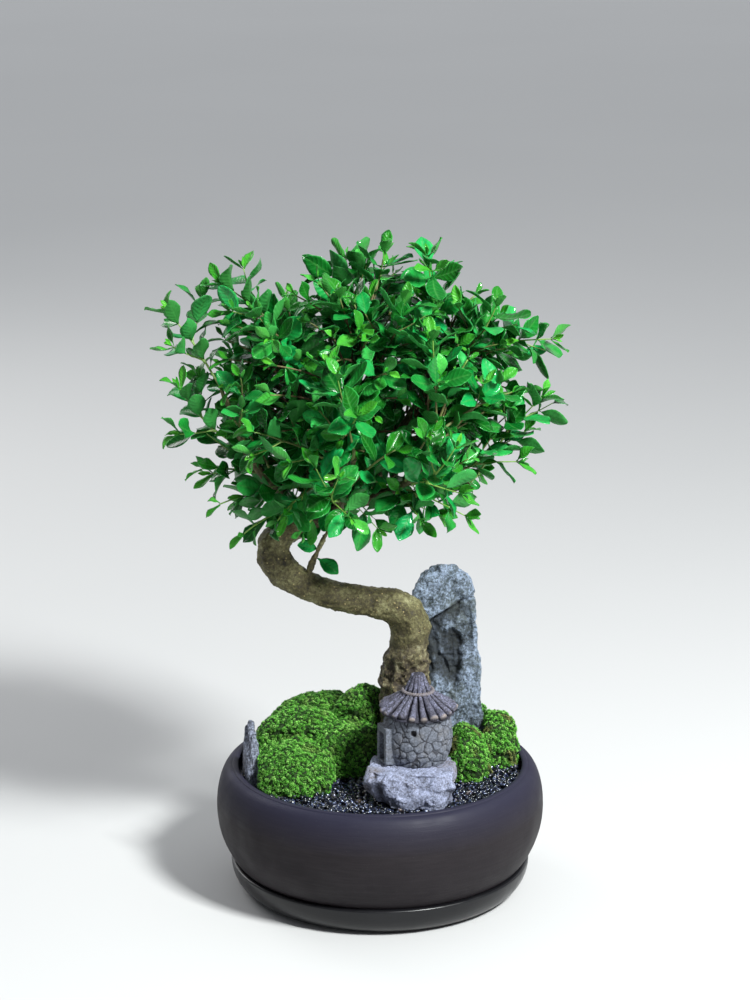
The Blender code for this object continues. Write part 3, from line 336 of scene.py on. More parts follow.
def clay_paint():
    """Unglazed dark clay, with faint turning marks, pale dust and a painted bluish sheen on its shoulder."""
    paint = Paint("clay", Specular_IOR_Level=0.20)
    marks = paint.noise(0.02, 3, 0.6, paint.stretched((1.0, 1.0, 14.0)))
    cloud = paint.noise(0.05, 5, 0.6)
    colour = paint.mix(cloud, (0.010, 0.008, 0.010), (0.021, 0.017, 0.020))
    colour = paint.mix(paint.ramp(marks, (0.42, 0.0), (0.75, 0.35)), colour, (0.031, 0.026, 0.030))
    # Painted sheen: the shoulder and rim are tinted cold blue, as if catching a pale light.
    painted_shoulder_sheen = paint.ramp(paint.height_share(0.060, 0.100), (0.0, 0.0), (0.6, 0.75), (1.0, 0.9))
    colour = paint.mix(painted_shoulder_sheen, colour, (0.021, 0.021, 0.045))
    specks = paint.ramp(paint.cells(0.0035), (0.04, 1.0), (0.09, 0.0))
    colour = paint.mix(paint.times(specks, 0.25), colour, (0.090, 0.080, 0.078))
    rough = paint.ramp(paint.noise(0.018, 4), (0.3, 0.52), (0.7, 0.68))
    return paint.finished(colour, rough, (marks, 0.0004, 0.35), (paint.noise(0.0012, 3), 0.00015, 0.35))


def glaze_paint():
    """Thin dark glaze, glossier than the pot."""
    paint = Paint("saucer_glaze", Specular_IOR_Level=0.3, Coat_Weight=0.20, Coat_Roughness=0.18)
    colour = paint.mix(paint.noise(0.03, 5, 0.6), (0.003, 0.003, 0.004), (0.009, 0.009, 0.011))
    rough = paint.ramp(paint.noise(0.01, 4), (0.3, 0.28), (0.7, 0.42))
    marks = paint.noise(0.02, 3, 0.6, paint.stretched((1.0, 1.0, 16.0)))
    return paint.finished(colour, rough, (marks, 0.0003, 0.3))


def plastic_paint():
    """Dark green plastic of the screen over the drain hole."""
    paint = Paint("screen_plastic")
    colour = paint.mix(paint.noise(0.002, 3), (0.010, 0.016, 0.012), (0.022, 0.032, 0.024))
    rough = paint.ramp(paint.noise(0.001), (0.3, 0.45), (0.7, 0.65))
    return paint.finished(colour, rough, (paint.noise(0.0006), 0.0001, 0.4))


def soil_paint():
    """Dark crumbly earth."""
    paint = Paint("soil")
    lumps = paint.noise(0.004, 6, 0.7)
    colour = paint.ramp(lumps, (0.25, (0.010, 0.006, 0.004)), (0.5, (0.040, 0.024, 0.014)),
                        (0.8, (0.085, 0.055, 0.035)))
    return paint.finished(colour, paint.ramp(lumps, (0.3, 0.8), (0.7, 0.98)), (lumps, 0.0015, 0.8))


def gravel_paint():
    """Glossy black grit with painted bluish-white glints, a few grains dusty or brown."""
    paint = Paint("black_gravel", Specular_IOR_Level=0.75, Coat_Weight=0.4, Coat_Roughness=0.08)
    pick = paint.island()
    colour = paint.ramp(pick, (0.0, (0.003, 0.003, 0.004)), (0.6, (0.007, 0.008, 0.011)),
                        (0.9, (0.018, 0.020, 0.028)), (0.985, (0.040, 0.042, 0.052)), (1.0, (0.100, 0.065, 0.035)))
    # Painted glints: small blue-white patches added to the grit's colour, standing in for sparkle.
    painted_glint = paint.ramp(paint.noise(0.0019, 2, 0.5), (0.50, (0.0, 0.0, 0.0)), (0.58, (0.022, 0.030, 0.070)),
                       (0.66, (0.060, 0.080, 0.170)), (0.72, (0.330, 0.400, 0.640)))
    rough = paint.ramp(pick, (0.0, 0.10), (1.0, 0.30))
    return paint.finished(paint.mix(1.0, colour, painted_glint, "ADD"), rough, (paint.noise(0.0008, 4, 0.6), 0.0003, 0.5))


def moss_paint():
    """Bright living moss: each shoot of its own green, with browned patches and painted shade darkening each leaflet
    towards its base.
    """
    paint = Paint("moss")
    pick = paint.attribute("shade")
    fresh = paint.ramp(pick, (0.0, (0.003, 0.026, 0.001)), (0.35, (0.035, 0.200, 0.008)),
                       (0.7, (0.180, 0.660, 0.055)), (1.0, (0.500, 1.000, 0.230)))
    worn = paint.ramp(pick, (0.0, (0.012, 0.016, 0.003)), (0.5, (0.110, 0.125, 0.020)), (1.0, (0.380, 0.330, 0.110)))
    browned = paint.math("MAXIMUM", paint.ramp(paint.noise(0.016, 4, 0.6), (0.60, 0.0), (0.74, 0.7)),
                         paint.attribute("dry"))
    colour = paint.mix(browned, fresh, worn)
    # Painted shade: deep in the moss, each leaflet is darkened towards its base.
    tip = paint.ramp(paint.attribute("tip"), (0.1, 0.0), (0.9, 1.0))
    colour = paint.mix(tip, paint.mix(0.80, colour, (0.004, 0.016, 0.002)), colour)
    rough = paint.ramp(pick, (0.0, 0.45), (1.0, 0.75))
    return paint.finished(colour, rough, (paint.noise(0.0006), 0.0001, 0.4))


def moss_bed_paint():
    """The dark green under the moss shoots."""
    paint = Paint("moss_bed")
    lumps = paint.noise(0.0016, 5, 0.7)
    colour = paint.ramp(lumps, (0.35, (0.004, 0.010, 0.002)), (0.6, (0.020, 0.060, 0.006)),
                        (0.8, (0.045, 0.120, 0.012)))
    return paint.finished(colour, paint.ramp(lumps, (0.3, 0.75), (0.7, 0.95)), (lumps, 0.0012, 1.0))


def rock_paint(name, dark, mid, light, warm, grain, strata):
    """Rough rock: beds of tone, grains, and painted shade in its sunken parts."""
    paint = Paint(name)
    beds = paint.noise(0.006, 6, 0.66, paint.stretched(strata))
    fine = paint.noise(grain, 6, 0.75)
    tone = paint.math("ADD", paint.times(beds, 0.35), paint.times(fine, 0.65))
    colour = paint.ramp(tone, (0.38, dark), (0.47, mid), (0.58, light))
    specks = paint.ramp(paint.cells(grain * 2.2), (0.10, 0.55), (0.22, 0.0))
    colour = paint.mix(specks, colour, dark)
    stain = paint.ramp(paint.noise(0.022, 5, 0.6), (0.52, 0.0), (0.68, 0.55))
    colour = paint.mix(stain, colour, warm)
    # Painted shade: the deeper a point is sunk, the darker it is made.
    colour = paint.mix(paint.times(paint.attribute("hollow_shade"), 0.85), colour, tuple(0.28 * c for c in dark))
    return paint.finished(colour, paint.ramp(fine, (0.3, 0.70), (0.7, 0.95)), (fine, 0.0010, 0.75))


def hut_paint():
    """Cast grey stone, dark in the cracks between cobbles, with painted shade inside the walls and at the back of the
    window.
    """
    paint = Paint("hut_stone")
    fine = paint.noise(0.0016, 6, 0.7)
    colour = paint.ramp(fine, (0.30, (0.045, 0.048, 0.056)), (0.50, (0.122, 0.135, 0.165)),
                        (0.72, (0.270, 0.295, 0.370)))
    colour = paint.mix(paint.ramp(paint.noise(0.009, 4), (0.5, 0.0), (0.7, 0.4)), colour, (0.15, 0.14, 0.135))
    # Dark cracks between cobbles, and painted shade inside the walls and at the back of the window.
    colour = paint.mix(paint.attribute("joint_and_shade"), colour, (0.018, 0.015, 0.018))
    return paint.finished(colour, paint.ramp(fine, (0.3, 0.75), (0.7, 0.95)), (fine, 0.0004, 0.7))


def thatch_paint():
    """Cast reeds in purple-brown, pale on their crests and dark with painted shade between them."""
    paint = Paint("hut_thatch")
    fine = paint.noise(0.0012, 6, 0.7)
    colour = paint.ramp(fine, (0.34, (0.026, 0.025, 0.036)), (0.48, (0.082, 0.082, 0.122)),
                        (0.66, (0.340, 0.350, 0.520)))
    colour = paint.mix(paint.ramp(paint.island(), (0.0, 0.45), (1.0, 0.0)), colour, (0.040, 0.034, 0.040))
    colour = paint.mix(paint.attribute("end"), colour, (0.340, 0.280, 0.235))
    # Painted shade between the reeds and on the cone between them, and patches of grime.
    colour = paint.mix(paint.attribute("joint_and_shade"), colour, (0.014, 0.012, 0.018))
    return paint.finished(colour, paint.ramp(fine, (0.3, 0.62), (0.7, 0.88)), (fine, 0.0004, 0.6))


def bark_paint():
    """Olive-tan bark with corky specks, rough and brown near the root, grey-green higher up, with painted shade in its
    recesses.
    """
    paint = Paint("bark")
    fine = paint.noise(0.0022, 6, 0.65)
    broad = paint.noise(0.016, 5, 0.6)
    young = paint.ramp(paint.math("ADD", paint.times(fine, 0.5), paint.times(broad, 0.5)),
                       (0.38, (0.016, 0.012, 0.004)), (0.48, (0.078, 0.066, 0.022)), (0.56, (0.150, 0.140, 0.058)),
                       (0.66, (0.330, 0.320, 0.170)))
    old = paint.ramp(paint.noise(0.005, 7, 0.75, warp=0.6), (0.38, (0.012, 0.008, 0.005)),
                     (0.47, (0.060, 0.044, 0.024)), (0.57, (0.190, 0.165, 0.085)), (0.68, (0.430, 0.420, 0.280)))
    colour = paint.mix(paint.attribute("age"), young, old)
    corky = paint.ramp(paint.cells(0.0042), (0.07, 1.0), (0.16, 0.0))
    colour = paint.mix(paint.times(corky, 0.8), colour, (0.47, 0.37, 0.17))
    pits = paint.ramp(paint.cells(0.0085, vector=paint.stretched((1.0, 1.0, 1.0), (0.5, 0.9, 0.2))), (0.06, 1.0),
                      (0.13, 0.0))
    colour = paint.mix(paint.times(pits, 0.8), colour, (0.022, 0.014, 0.008))
    flecks = paint.ramp(paint.noise(0.0013, 4, 0.6, paint.stretched((1.0, 1.0, 1.6))), (0.34, 0.75), (0.43, 0.0))
    colour = paint.mix(flecks, colour, (0.020, 0.014, 0.006))
    # Painted shade: the deeper the bark sinks, the darker it is made.
    colour = paint.mix(paint.times(paint.attribute("hollow_shade"), 0.85), colour, (0.020, 0.013, 0.007))
    rough = paint.ramp(fine, (0.3, 0.52), (0.7, 0.80))
    return paint.finished(colour, rough, (corky, 0.0005, 0.8), (fine, 0.0012, 1.0))


def twig_paint():
    """Twigs, brown where they leave the limbs and green where they are young."""
    paint = Paint("twig")
    young = paint.attribute("young")
    colour = paint.ramp(young, (0.0, (0.115, 0.070, 0.035)), (0.35, (0.150, 0.130, 0.045)),
                        (0.7, (0.130, 0.230, 0.045)), (1.0, (0.200, 0.420, 0.060)))
    colour = paint.mix(paint.ramp(paint.noise(0.002, 4), (0.45, 0.0), (0.75, 0.5)), colour, (0.24, 0.20, 0.11))
    rough = paint.ramp(young, (0.0, 0.75), (1.0, 0.45))
    return paint.finished(colour, rough, (paint.noise(0.0007, 3), 0.0002, 0.5))


def leaf_paint():
    """Glossy leaves: pale midrib and margin, each leaf of its own green, the youngest yellow-green."""
    paint = Paint("leaf", Coat_Roughness=0.10, Specular_IOR_Level=0.12)
    pick = paint.island()
    paint.set("Coat Weight", paint.ramp(pick, (0.0, 0.08), (0.25, 0.60), (0.30, 0.08), (0.60, 0.08), (0.66, 0.80),
                                        (0.72, 0.08), (0.93, 0.08), (1.0, 0.90)))
    old = paint.ramp(pick, (0.0, (0.0010, 0.060, 0.005)), (0.30, (0.0015, 0.115, 0.010)),
                     (0.70, (0.002, 0.210, 0.032)), (1.0, (0.004, 0.380, 0.092)))
    fresh = paint.ramp(pick, (0.0, (0.030, 0.300, 0.012)), (1.0, (0.120, 0.520, 0.035)))
    colour = paint.mix(paint.attribute("youth"), old, fresh)
    across = paint.attribute("across")
    rib = paint.ramp(across, (0.0, 1.0), (0.10, 0.25), (0.2, 0.0))
    colour = paint.mix(paint.times(rib, 0.55), colour, (0.070, 0.300, 0.060))
    margin = paint.ramp(across, (0.86, 0.0), (0.96, 0.75))
    colour = paint.mix(margin, colour, (0.050, 0.420, 0.090))
    veins = paint.math("SINE", paint.math("ADD", paint.times(paint.attribute("along"), 46.0),
                                          paint.times(across, -9.0)))
    colour = paint.mix(paint.ramp(veins, (0.70, 0.0), (1.0, 0.30)), colour, (0.040, 0.300, 0.060))
    mottled = paint.ramp(paint.noise(0.004, 4), (0.35, 0.0), (0.7, 0.30))
    colour = paint.mix(mottled, colour, (0.002, 0.070, 0.010))
    under = paint.attribute("under")
    colour = paint.mix(paint.times(under, 0.6), colour, (0.045, 0.230, 0.050))
    rough = paint.math("ADD", paint.times(under, 0.22), paint.ramp(pick, (0.0, 0.22), (1.0, 0.36)))
    veined, uneven = (paint.times(veins, 0.5), 0.0002, 0.6), (paint.noise(0.0026, 3), 0.0006, 0.6)
    return paint.finished(colour, rough, veined, uneven)


# ---------------------------------------------------------------- pot and saucer

def quarter(start, end, level_first, pieces=24):
    """A quarter ellipse from start to end, leaving level or upright, without its start."""
    points = []
    for i in range(1, pieces + 1):
        turn = i / pieces * math.pi / 2
        along, rise = math.sin(turn), 1 - math.cos(turn)
        r, z = (along, rise) if level_first else (rise, along)
        points.append((start[0] + (end[0] - start[0]) * r, start[1] + (end[1] - start[1]) * z))
    return points


def lip_arc(middle, half, base, rise):
    """The rounded top of a wall, from outside to inside, as (radius, height) points."""
    turns = [math.pi * i / 12 for i in range(1, 12)]
    return [(middle + half * math.cos(turn), base + rise * math.sin(turn)) for turn in turns]


def make_saucer():
    radius, _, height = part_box("saucer")[1]
    foot, floor, wall = radius * 0.850, height * 0.30, radius * 0.0474
    rim = height - wall / 3
    profile = [(0.0, 0.0008), (foot * 0.90, 0.0008), (foot * 0.92, 0.0), (foot, 0.0)]
    profile += quarter((foot, 0.0), (radius, rim), True)
    profile += lip_arc(radius - wall / 2, wall / 2, rim, wall / 3)
    profile += quarter((foot - wall, floor), (radius - wall, rim), True)[::-1]
    profile += [(foot - wall, floor), (0.0, floor)]
    object_of("saucer_body", turned_mesh("saucer_body", profile, 160), glaze_paint(), ["saucer"])


def make_pot():
    """The bowl, its turned surface never quite even."""
    low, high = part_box("pot")
    radius, base, top = high.x, low.z, high.z
    height = top - base
    mouth, belly, foot = radius * MOUTH_SHARE, base + height * 0.6359, radius * 0.6364
    lip, wall, floor = radius * 0.0364, radius * 0.0591, base + height * 0.1011
    ring, recess, drain = foot * 0.1286, 0.0025, radius * 0.0909
    profile = [(drain, base + recess), (foot - ring, base + recess), (foot - ring + 0.0008, base + 0.0003),
               (foot - 0.0012, base), (foot, base + 0.0002)]
    profile += quarter((foot, base), (radius, belly), True, 40)
    profile += quarter((radius, belly), (mouth + lip, top - lip / 4), False, 40)
    profile += lip_arc(mouth + lip / 2, lip / 2, top - lip / 4, lip / 4)
    profile += quarter((radius - wall, belly), (mouth, top - lip / 3), False, 30)[::-1]
    profile += quarter((foot - wall / 2, floor), (radius - wall, belly), True, 30)[::-1]
    profile += [(drain, floor), (drain, base + recess)]
    mesh = turned_mesh("pot_body", profile, 192)

    def uneven(point, normal):
        turn = math.atan2(point.y, point.x)
        wobble = noise.noise(Vector((math.cos(turn), math.sin(turn), point.z * 60))) * 0.00018
        return wobble + noise.noise(Vector((math.cos(turn) * 0.6, math.sin(turn) * 0.6, point.z * 520))) * 0.00006

    displace(mesh, uneven)
    object_of("pot_body", mesh, clay_paint(), ["pot"])


# ---------------------------------------------------------------- gravel

def grain_template(rng, corners=11):
    """A sharp-edged grain of about unit radius: the hull of a few random points."""
    bm = bmesh.new()
    for _ in range(corners):
        way = Vector((rng.gauss(0, 1), rng.gauss(0, 1), rng.gauss(0, 1))).normalized()
        bm.verts.new(way * rng.uniform(0.75, 1.1))
    made = bmesh.ops.convex_hull(bm, input=bm.verts[:])
    spare = {item for item in made["geom_interior"] + made["geom_unused"] if isinstance(item, bmesh.types.BMVert)}
    bmesh.ops.delete(bm, geom=list(spare), context="VERTS")
    bm.verts.index_update()
    points = np.array([v.co[:] for v in bm.verts])
    faces = np.array([[v.index for v in f.verts] for f in bm.faces])
    bm.free()
    return points, faces


def scattered(name, templates, places):
    """One mesh of many copies: each place is (template number, 3x3 matrix, position)."""
    points, faces, count = [], [], 0
    for number, matrix, position in places:
        shape, corners = templates[number]
        points.append(shape @ np.asarray(matrix).T + np.asarray(position))
        faces.append(corners + count)
        count += len(shape)
    return mesh_from_arrays(name, np.concatenate(points), np.concatenate(faces))


GRAIN_SPACING = 0.0030


def make_gravel(cushions, stones):
    """A bed of grit, and loose grains on it wherever nothing else covers the ground."""
    rng = random.Random(SEED)
    low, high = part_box("gravel")
    top, reach = high.z, high.x
    profile = [(0.0, low.z), (reach, low.z), (reach, top - 0.0012), (0.0, top - 0.0012)]
    bed = turned_mesh("gravel_bed", rounded(profile, 0.001, 2), 96)
    finish = gravel_paint()
    object_of("gravel_bed", bed, finish, ["gravel"], smooth=False)
    covers = [cad_tree(name) for name in cushions + stones + ["trunk"]]
    templates = [grain_template(rng) for _ in range(14)]
    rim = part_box("pot")[1].x * MOUTH_SHARE - 0.0012
    rows = int(rim / GRAIN_SPACING) + 1
    grid = range(-rows, rows + 1)
    places = []
    for layer, i, j in itertools.product(range(2), grid, grid):
        x = (i + 0.5 * (j % 2) + rng.uniform(-0.4, 0.4)) * GRAIN_SPACING
        y = (j * 0.87 + rng.uniform(-0.4, 0.4)) * GRAIN_SPACING
        size = rng.uniform(0.0016, 0.0027) * (1.0 if rng.random() < 0.8 else 1.25)
        if math.hypot(x, y) + size > rim:
            continue
        above = Vector((x, y, top + 0.3))
        if any(tree.ray_cast(above, Vector((0, 0, -1)), 0.3 - 0.0005)[0] for tree in covers):
            edge = min((tree.find_nearest(Vector((x, y, top + 0.0006)))[3] or 1) for tree in covers)
            if edge > 0.0008 or layer:
                continue
        turn = Matrix.Rotation(rng.uniform(0, ANY_TURN), 3, "Z") @ Matrix.Rotation(rng.uniform(0, ANY_TURN), 3, "X")
        shape = Matrix.Diagonal((size, size * rng.uniform(0.7, 1.0), size * rng.uniform(0.6, 0.9)))
        mound = noise.noise(Vector((x, y, 0)) / 0.02) * 0.0009
        z = top - 0.0006 + layer * rng.uniform(0.0010, 0.0026) + mound
        if not layer or rng.random() >= 0.35:
            places.append((rng.randrange(len(templates)), turn @ shape, (x, y, z)))
    mesh = scattered("gravel_grains", templates, places)
    object_of("gravel_grains", mesh, finish, ["gravel"], smooth=False)


# ---------------------------------------------------------------- moss

def rosette(rng, leaves=7):
    """One moss shoot of about unit radius seen from above: pointed leaflets round a stem, each closed."""
    points, faces = [], []
    for i in range(leaves):
        turn = 2 * math.pi * i / leaves + rng.uniform(-0.3, 0.3)
        rise = rng.uniform(0.35, 1.1)
        reach = rng.uniform(0.75, 1.1)
        out = Vector((math.cos(turn), math.sin(turn), 0))
        side = Vector((-out.y, out.x, 0)) * 0.26
        first = out * 0.08
        count = len(points)
        tip = out * (reach * math.cos(rise)) + Vector((0, 0, reach * math.sin(rise) * 0.9))
        middle = tip * 0.5 + Vector((0, 0, 0.05))
        points += [first - side * 0.5, first + side * 0.5, middle - side, middle + side, tip,
                   middle - Vector((0, 0, 0.16))]
        faces += [(count, count + 1, count + 3), (count, count + 3, count + 2), (count + 2, count + 3, count + 4),
                  (count + 1, count, count + 5), (count + 3, count + 1, count + 5), (count, count + 2, count + 5),
                  (count + 4, count + 3, count + 5), (count + 2, count + 4, count + 5)]
    return np.array([p[:] for p in points]), np.array(faces)


# How far up each corner of a leaflet lies, 0 at the stem to 1 at the tip, for the moss's painted shade at the bases.
LEAFLET_TIPS = (0.0, 0.0, 0.55, 0.55, 1.0, 0.3)


def surface_samples(mesh, spacing, rng):
    """Points spread over a triangulated mesh, with normals, about a spacing apart."""
    mesh.calc_loop_triangles()
    found = []
    for triangle in mesh.loop_triangles:
        a, b, c = (mesh.vertices[i].co for i in triangle.vertices)
        wanted = triangle.area / (spacing * spacing)
        count = int(wanted) + (rng.random() < wanted % 1)
        na, nb, nc = (mesh.vertices[i].normal for i in triangle.vertices)
        for _ in range(count):
            u, v = rng.random(), rng.random()
            if u + v > 1:
                u, v = 1 - u, 1 - v
            found.append((a + (b - a) * u + (c - a) * v, (na + (nb - na) * u + (nc - na) * v).normalized()))
    return found


# How far the cushions swell into each other, and where one is held back from what lies before or beside it.
MOSS_SPREAD = 0.0030
MOSS_FRONTS = {"moss_right_front": 0.0030}
MOSS_SIDES = {"moss_front_left": 0.0060}


def moss_bed(names):
    """All the cushions, swollen until neighbours run together, and lumpy as moss grows."""
    joined = bmesh.new()
    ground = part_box("gravel")[1].z
    for name in names:
        low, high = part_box(name)
        foot = Vector(((low.x + high.x) / 2, (low.y + high.y) / 2, low.z))
        cushion = cad_mesh(name)
        for vert in cushion.verts:
            away = vert.co - foot
            vert.co += away.normalized() * MOSS_SPREAD
            if name in MOSS_FRONTS:
                vert.co.y = max(vert.co.y, low.y + MOSS_FRONTS[name])
            if name in MOSS_SIDES:
                vert.co.x = min(vert.co.x, high.x - MOSS_SIDES[name])
            vert.co.z = vert.co.z if away.z > 0.0005 else ground - 0.0012
        joined.from_mesh(mesh_of(name, cushion))
    bed = remeshed(joined, 0.0013, 26)
    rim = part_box("pot")[1].x * MOUTH_SHARE - 0.0016

    def lumpy(point, normal):
        lumps = fractal(point + Vector((0, 0, 3)), 0.013, 3) * 0.0022
        return lumps - 0.0010 + noise.noise(point / 0.0036) * 0.0006

    displace(bed, lumpy)
    for vertex in bed.vertices:
        flat = math.hypot(vertex.co.x, vertex.co.y)
        if flat > rim and vertex.co.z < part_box("pot")[1].z:
            vertex.co.x *= rim / flat
            vertex.co.y *= rim / flat
    bed.update()
    return bed


def make_moss(names):
    """A dark lumpy bed and a crowd of shoots standing on it, one piece of shoots for each cushion."""
    rng = random.Random(SEED + 1)
    templates = [rosette(rng) for _ in range(10)]
    finish, under = moss_paint(), moss_bed_paint()
    bed = moss_bed(names)
    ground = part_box("gravel")[1].z
    trees = {name: cad_tree(name) for name in names}
    middles = {name: (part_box(name)[0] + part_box(name)[1]) / 2 for name in names}
    places = {name: [] for name in names}
    dry = {name: [] for name in names}
    shade = {name: [] for name in names}
    for point, normal in surface_samples(bed, 0.00130, rng):
        if normal.z < -0.1 or point.z < ground:
            continue
        near = sorted(names, key=lambda name: (middles[name] - point).length)[:3]
        owner = min(near, key=lambda name: trees[name].find_nearest(point)[3])
        size = rng.uniform(0.0009, 0.0017)
        lean = (normal + Vector((rng.uniform(-0.35, 0.35), rng.uniform(-0.35, 0.35), 0.25))).normalized()
        turn = lean.to_track_quat("Z", "Y").to_matrix() @ Matrix.Rotation(rng.uniform(0, ANY_TURN), 3, "Z")
        number = rng.randrange(len(templates))
        places[owner].append((number, turn @ Matrix.Diagonal((size, size, size * 1.15)), point + normal * 0.0002))
        worn = step(0.12, 0.42, noise.noise(point / 0.012 + Vector((9, 0, 0))))
        dry[owner] += [worn * (0.9 if owner.startswith("moss_right") else 0.35)] * len(templates[number][0])
        shade[owner] += [0.55 * rng.random() + 0.45 * step(0.0009, 0.0017, size)] * len(templates[number][0])
    for name in names:
        mesh = scattered(name + "_shoots", templates, places[name])
        add_float(mesh, "dry", dry[name])
        add_float(mesh, "shade", shade[name])
        add_float(mesh, "tip", np.resize(LEAFLET_TIPS, len(mesh.vertices)))
        object_of(name + "_shoots", mesh, finish, [name], smooth=False)
    object_of("moss_bed", bed, under, names)


# ---------------------------------------------------------------- stones

def rough_rock(name, voxel, finish, height, smoothing=3):
    """A stone: the node's block with its edges worn, then broken up by height(point, normal)."""
    mesh = remeshed(cad_mesh(name), voxel, smoothing)
    rises = displace(mesh, height)
    # How deep each point is sunk, for the rock paint's painted shade.
    add_float(mesh, "hollow_shade", (-rises - 0.0007) / 0.0026)
    object_of(name + "_rock", mesh, finish, [name], smooth=False)


def make_stones():
    low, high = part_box("standing_stone")
    top, middle = high.z, (low.x + high.x) / 2
    slate = rock_paint("slate", (0.020, 0.025, 0.024), (0.088, 0.113, 0.136), (0.310, 0.385, 0.520),
                       (0.090, 0.105, 0.085), 0.0017, (1.0, 1.0, 0.45))

    def standing(point, normal):
        """Chipped slate: a rounded head, a ledge slanting down under it, sunk deepest on its left and so darkest with
        painted shade there, and a pale right edge.
        """
        tall = Vector((point.x, point.y, point.z * 0.5))
        rise = facets(tall, 0.0150, 0.11) + facets(point + Vector((1, 2, 3)), 0.0075, 0.17) + 0.0006
        small = facets(point, 0.0036, 0.16) + noise.noise(point / 0.0014) * 0.00016
        if normal.y < 0.3:
            wander = fractal(point + Vector((0, 0, 4)), 0.012, 3) * 0.0030
            brow = top - 0.018 - (middle + 0.0155 - point.x) * 0.62 + wander * 0.6
            under = step(0.0, 0.0022, brow - point.z)
            width = 0.0014 + 0.0018 * step(middle - 0.010, middle + 0.014, point.x)
            crack = 1 - step(0.0, width, abs(brow - 0.0012 - point.z))
            inner = 1 - step(middle + 0.0055, middle + 0.0115, point.x + wander)
            fade = 1 - step(0.070, 0.085, top - point.z)
            rise += facets(tall + Vector((7, 0, 0)), 0.0095, 0.30) * under * inner
            rise -= under * (0.0010 + inner * 0.0024 * fade) + crack * 0.0016
        return rise + small

    rough_rock("standing_stone", 0.0008, slate, standing)
    granite = rock_paint("granite", (0.055, 0.052, 0.062), (0.200, 0.218, 0.300), (0.400, 0.440, 0.620),
                         (0.170, 0.140, 0.120), 0.0013, (1.0, 1.0, 1.0))

    def base(point, normal):
        """Granular rock with chipped sides and a nearly flat top."""
        chips = facets(point, 0.0150, 0.22) + facets(point + Vector((4, 0, 0)), 0.0070, 0.20)
        grit = noise.noise(point / 0.0012) * 0.00026 + facets(point, 0.0030, 0.16)
        pits = noise.voronoi(point / 0.0050)[0][0]
        grit -= (1 - step(0.10, 0.30, pits)) * 0.0006
        return chips * (1 - 0.8 * step(0.6, 0.9, normal.z)) + grit

    rough_rock("base_stone", 0.0009, granite, base)
    shale = rock_paint("shale", (0.022, 0.025, 0.033), (0.090, 0.100, 0.130), (0.300, 0.330, 0.430),
                       (0.150, 0.130, 0.110), 0.0016, (1.0, 3.0, 1.0))

    def shard(point, normal):
        """Thin upright beds with broken edges."""
        beds = Vector((point.x * 2.6, point.y * 0.5, point.z * 0.35))
        rise = (ridges(beds, 0.0085) - 0.6) * 0.0030 + facets(beds, 0.0060, 0.22)
        return rise + noise.noise(point / 0.0018) * 0.0003 + 0.0014

    rough_rock("rim_stone", 0.0007, shale, shard, 2)


# ---------------------------------------------------------------- hut

# Reeds from eave to rope, and above the rope.
REEDS, TUFT_REEDS = 22, 13


def outwards(turn):
    return Vector((math.cos(turn), math.sin(turn), 0))


def joined_tubes(name, tubes, sides):
    """One mesh of several closed tubes, each (path, radii, squash)."""
    bm = bmesh.new()
    turns = [2 * math.pi * j / sides for j in range(sides)]
    for path, radii, squash in tubes:
        rings = []
        for i, (place, radius) in enumerate(zip(path, radii)):
            way = (path[min(i + 1, len(path) - 1)] - path[max(i - 1, 0)]).normalized()
            across = way.cross(Vector((0, 0, 1)))
            across = across.normalized() if across.length > 0.05 else Vector((1, 0, 0))
            up = across.cross(way).normalized()
            rings.append([bm.verts.new(place + across * (radius * math.cos(turn))
                                       + up * (radius * squash * math.sin(turn))) for turn in turns])
        for first, second in zip(rings, rings[1:]):
            for j in range(sides):
                k = (j + 1) % sides
                bm.faces.new((first[j], second[j], second[k], first[k]))
        bm.faces.new(rings[0][::-1])
        bm.faces.new(rings[-1])
    bmesh.ops.recalc_face_normals(bm, faces=bm.faces[:])
    return mesh_of(name, bm)


def off_turn(turn, middle):
    """The angle between two turns, 0 to pi."""
    return abs((turn - middle + math.pi) % (2 * math.pi) - math.pi)


# The hut's door and window: turns about its axis, and the window's height.
DOOR, WINDOW, WINDOW_HEIGHT = math.radians(202), math.radians(262), 0.0245
# Radii about the hut's axis: between the wall's faces, of its outside, and of the back of the window.
MID_WALL, OUTER_WALL, WINDOW_BACK = 0.0178, 0.0222, 0.0208


def make_walls(centre):
    """Cobbled walls from the node, evenly meshed so that the cracks between cobbles can be cut in."""
    mesh = remeshed(cad_mesh("hut_walls"), 0.00042, 3)
    joint_and_shade_marks = []

    def cobbles(place, normal):
        point = place - centre
        turn, flat = math.atan2(point.y, point.x), math.hypot(point.x, point.y)
        cell = outwards(turn) * 0.0212 + Vector((0, 0, point.z)) + noise.noise_vector(point / 0.004) * 0.0008
        near = noise.voronoi(cell / 0.0064)[0]
        gap = near[1] - near[0]
        outer = flat > MID_WALL
        from_window = max(off_turn(turn, WINDOW) * OUTER_WALL, abs(point.z - WINDOW_HEIGHT))
        in_window = from_window < 0.0024 and flat < WINDOW_BACK
        framed = (off_turn(turn, DOOR) < 0.40 and point.z < 0.0262) or from_window < 0.0034
        crack = 1 - step(0.02, 0.11, gap)
        if framed or not outer or abs(normal.z) > 0.9:
            crack *= 0.12
        # Painted shade: the inside of the wall and the back of the window are marked dark, like the cracks.
        inside = 1.0 if not outer and 0.001 < point.z < 0.03 else 0.0
        joint_and_shade_marks.append(max(crack * 0.75, inside * 0.96, 0.96 * in_window))
        dome = step(0.0, 0.5, gap) * 0.0004 * (0.2 if framed else 1.0)
        return dome + fractal(point, 0.0035, 4, 0.6) * 0.00022 - crack * 0.0007

    displace(mesh, cobbles)
    add_float(mesh, "joint_and_shade", joint_and_shade_marks)
    object_of("hut_walls_stone", mesh, hut_paint(), ["hut_walls"])


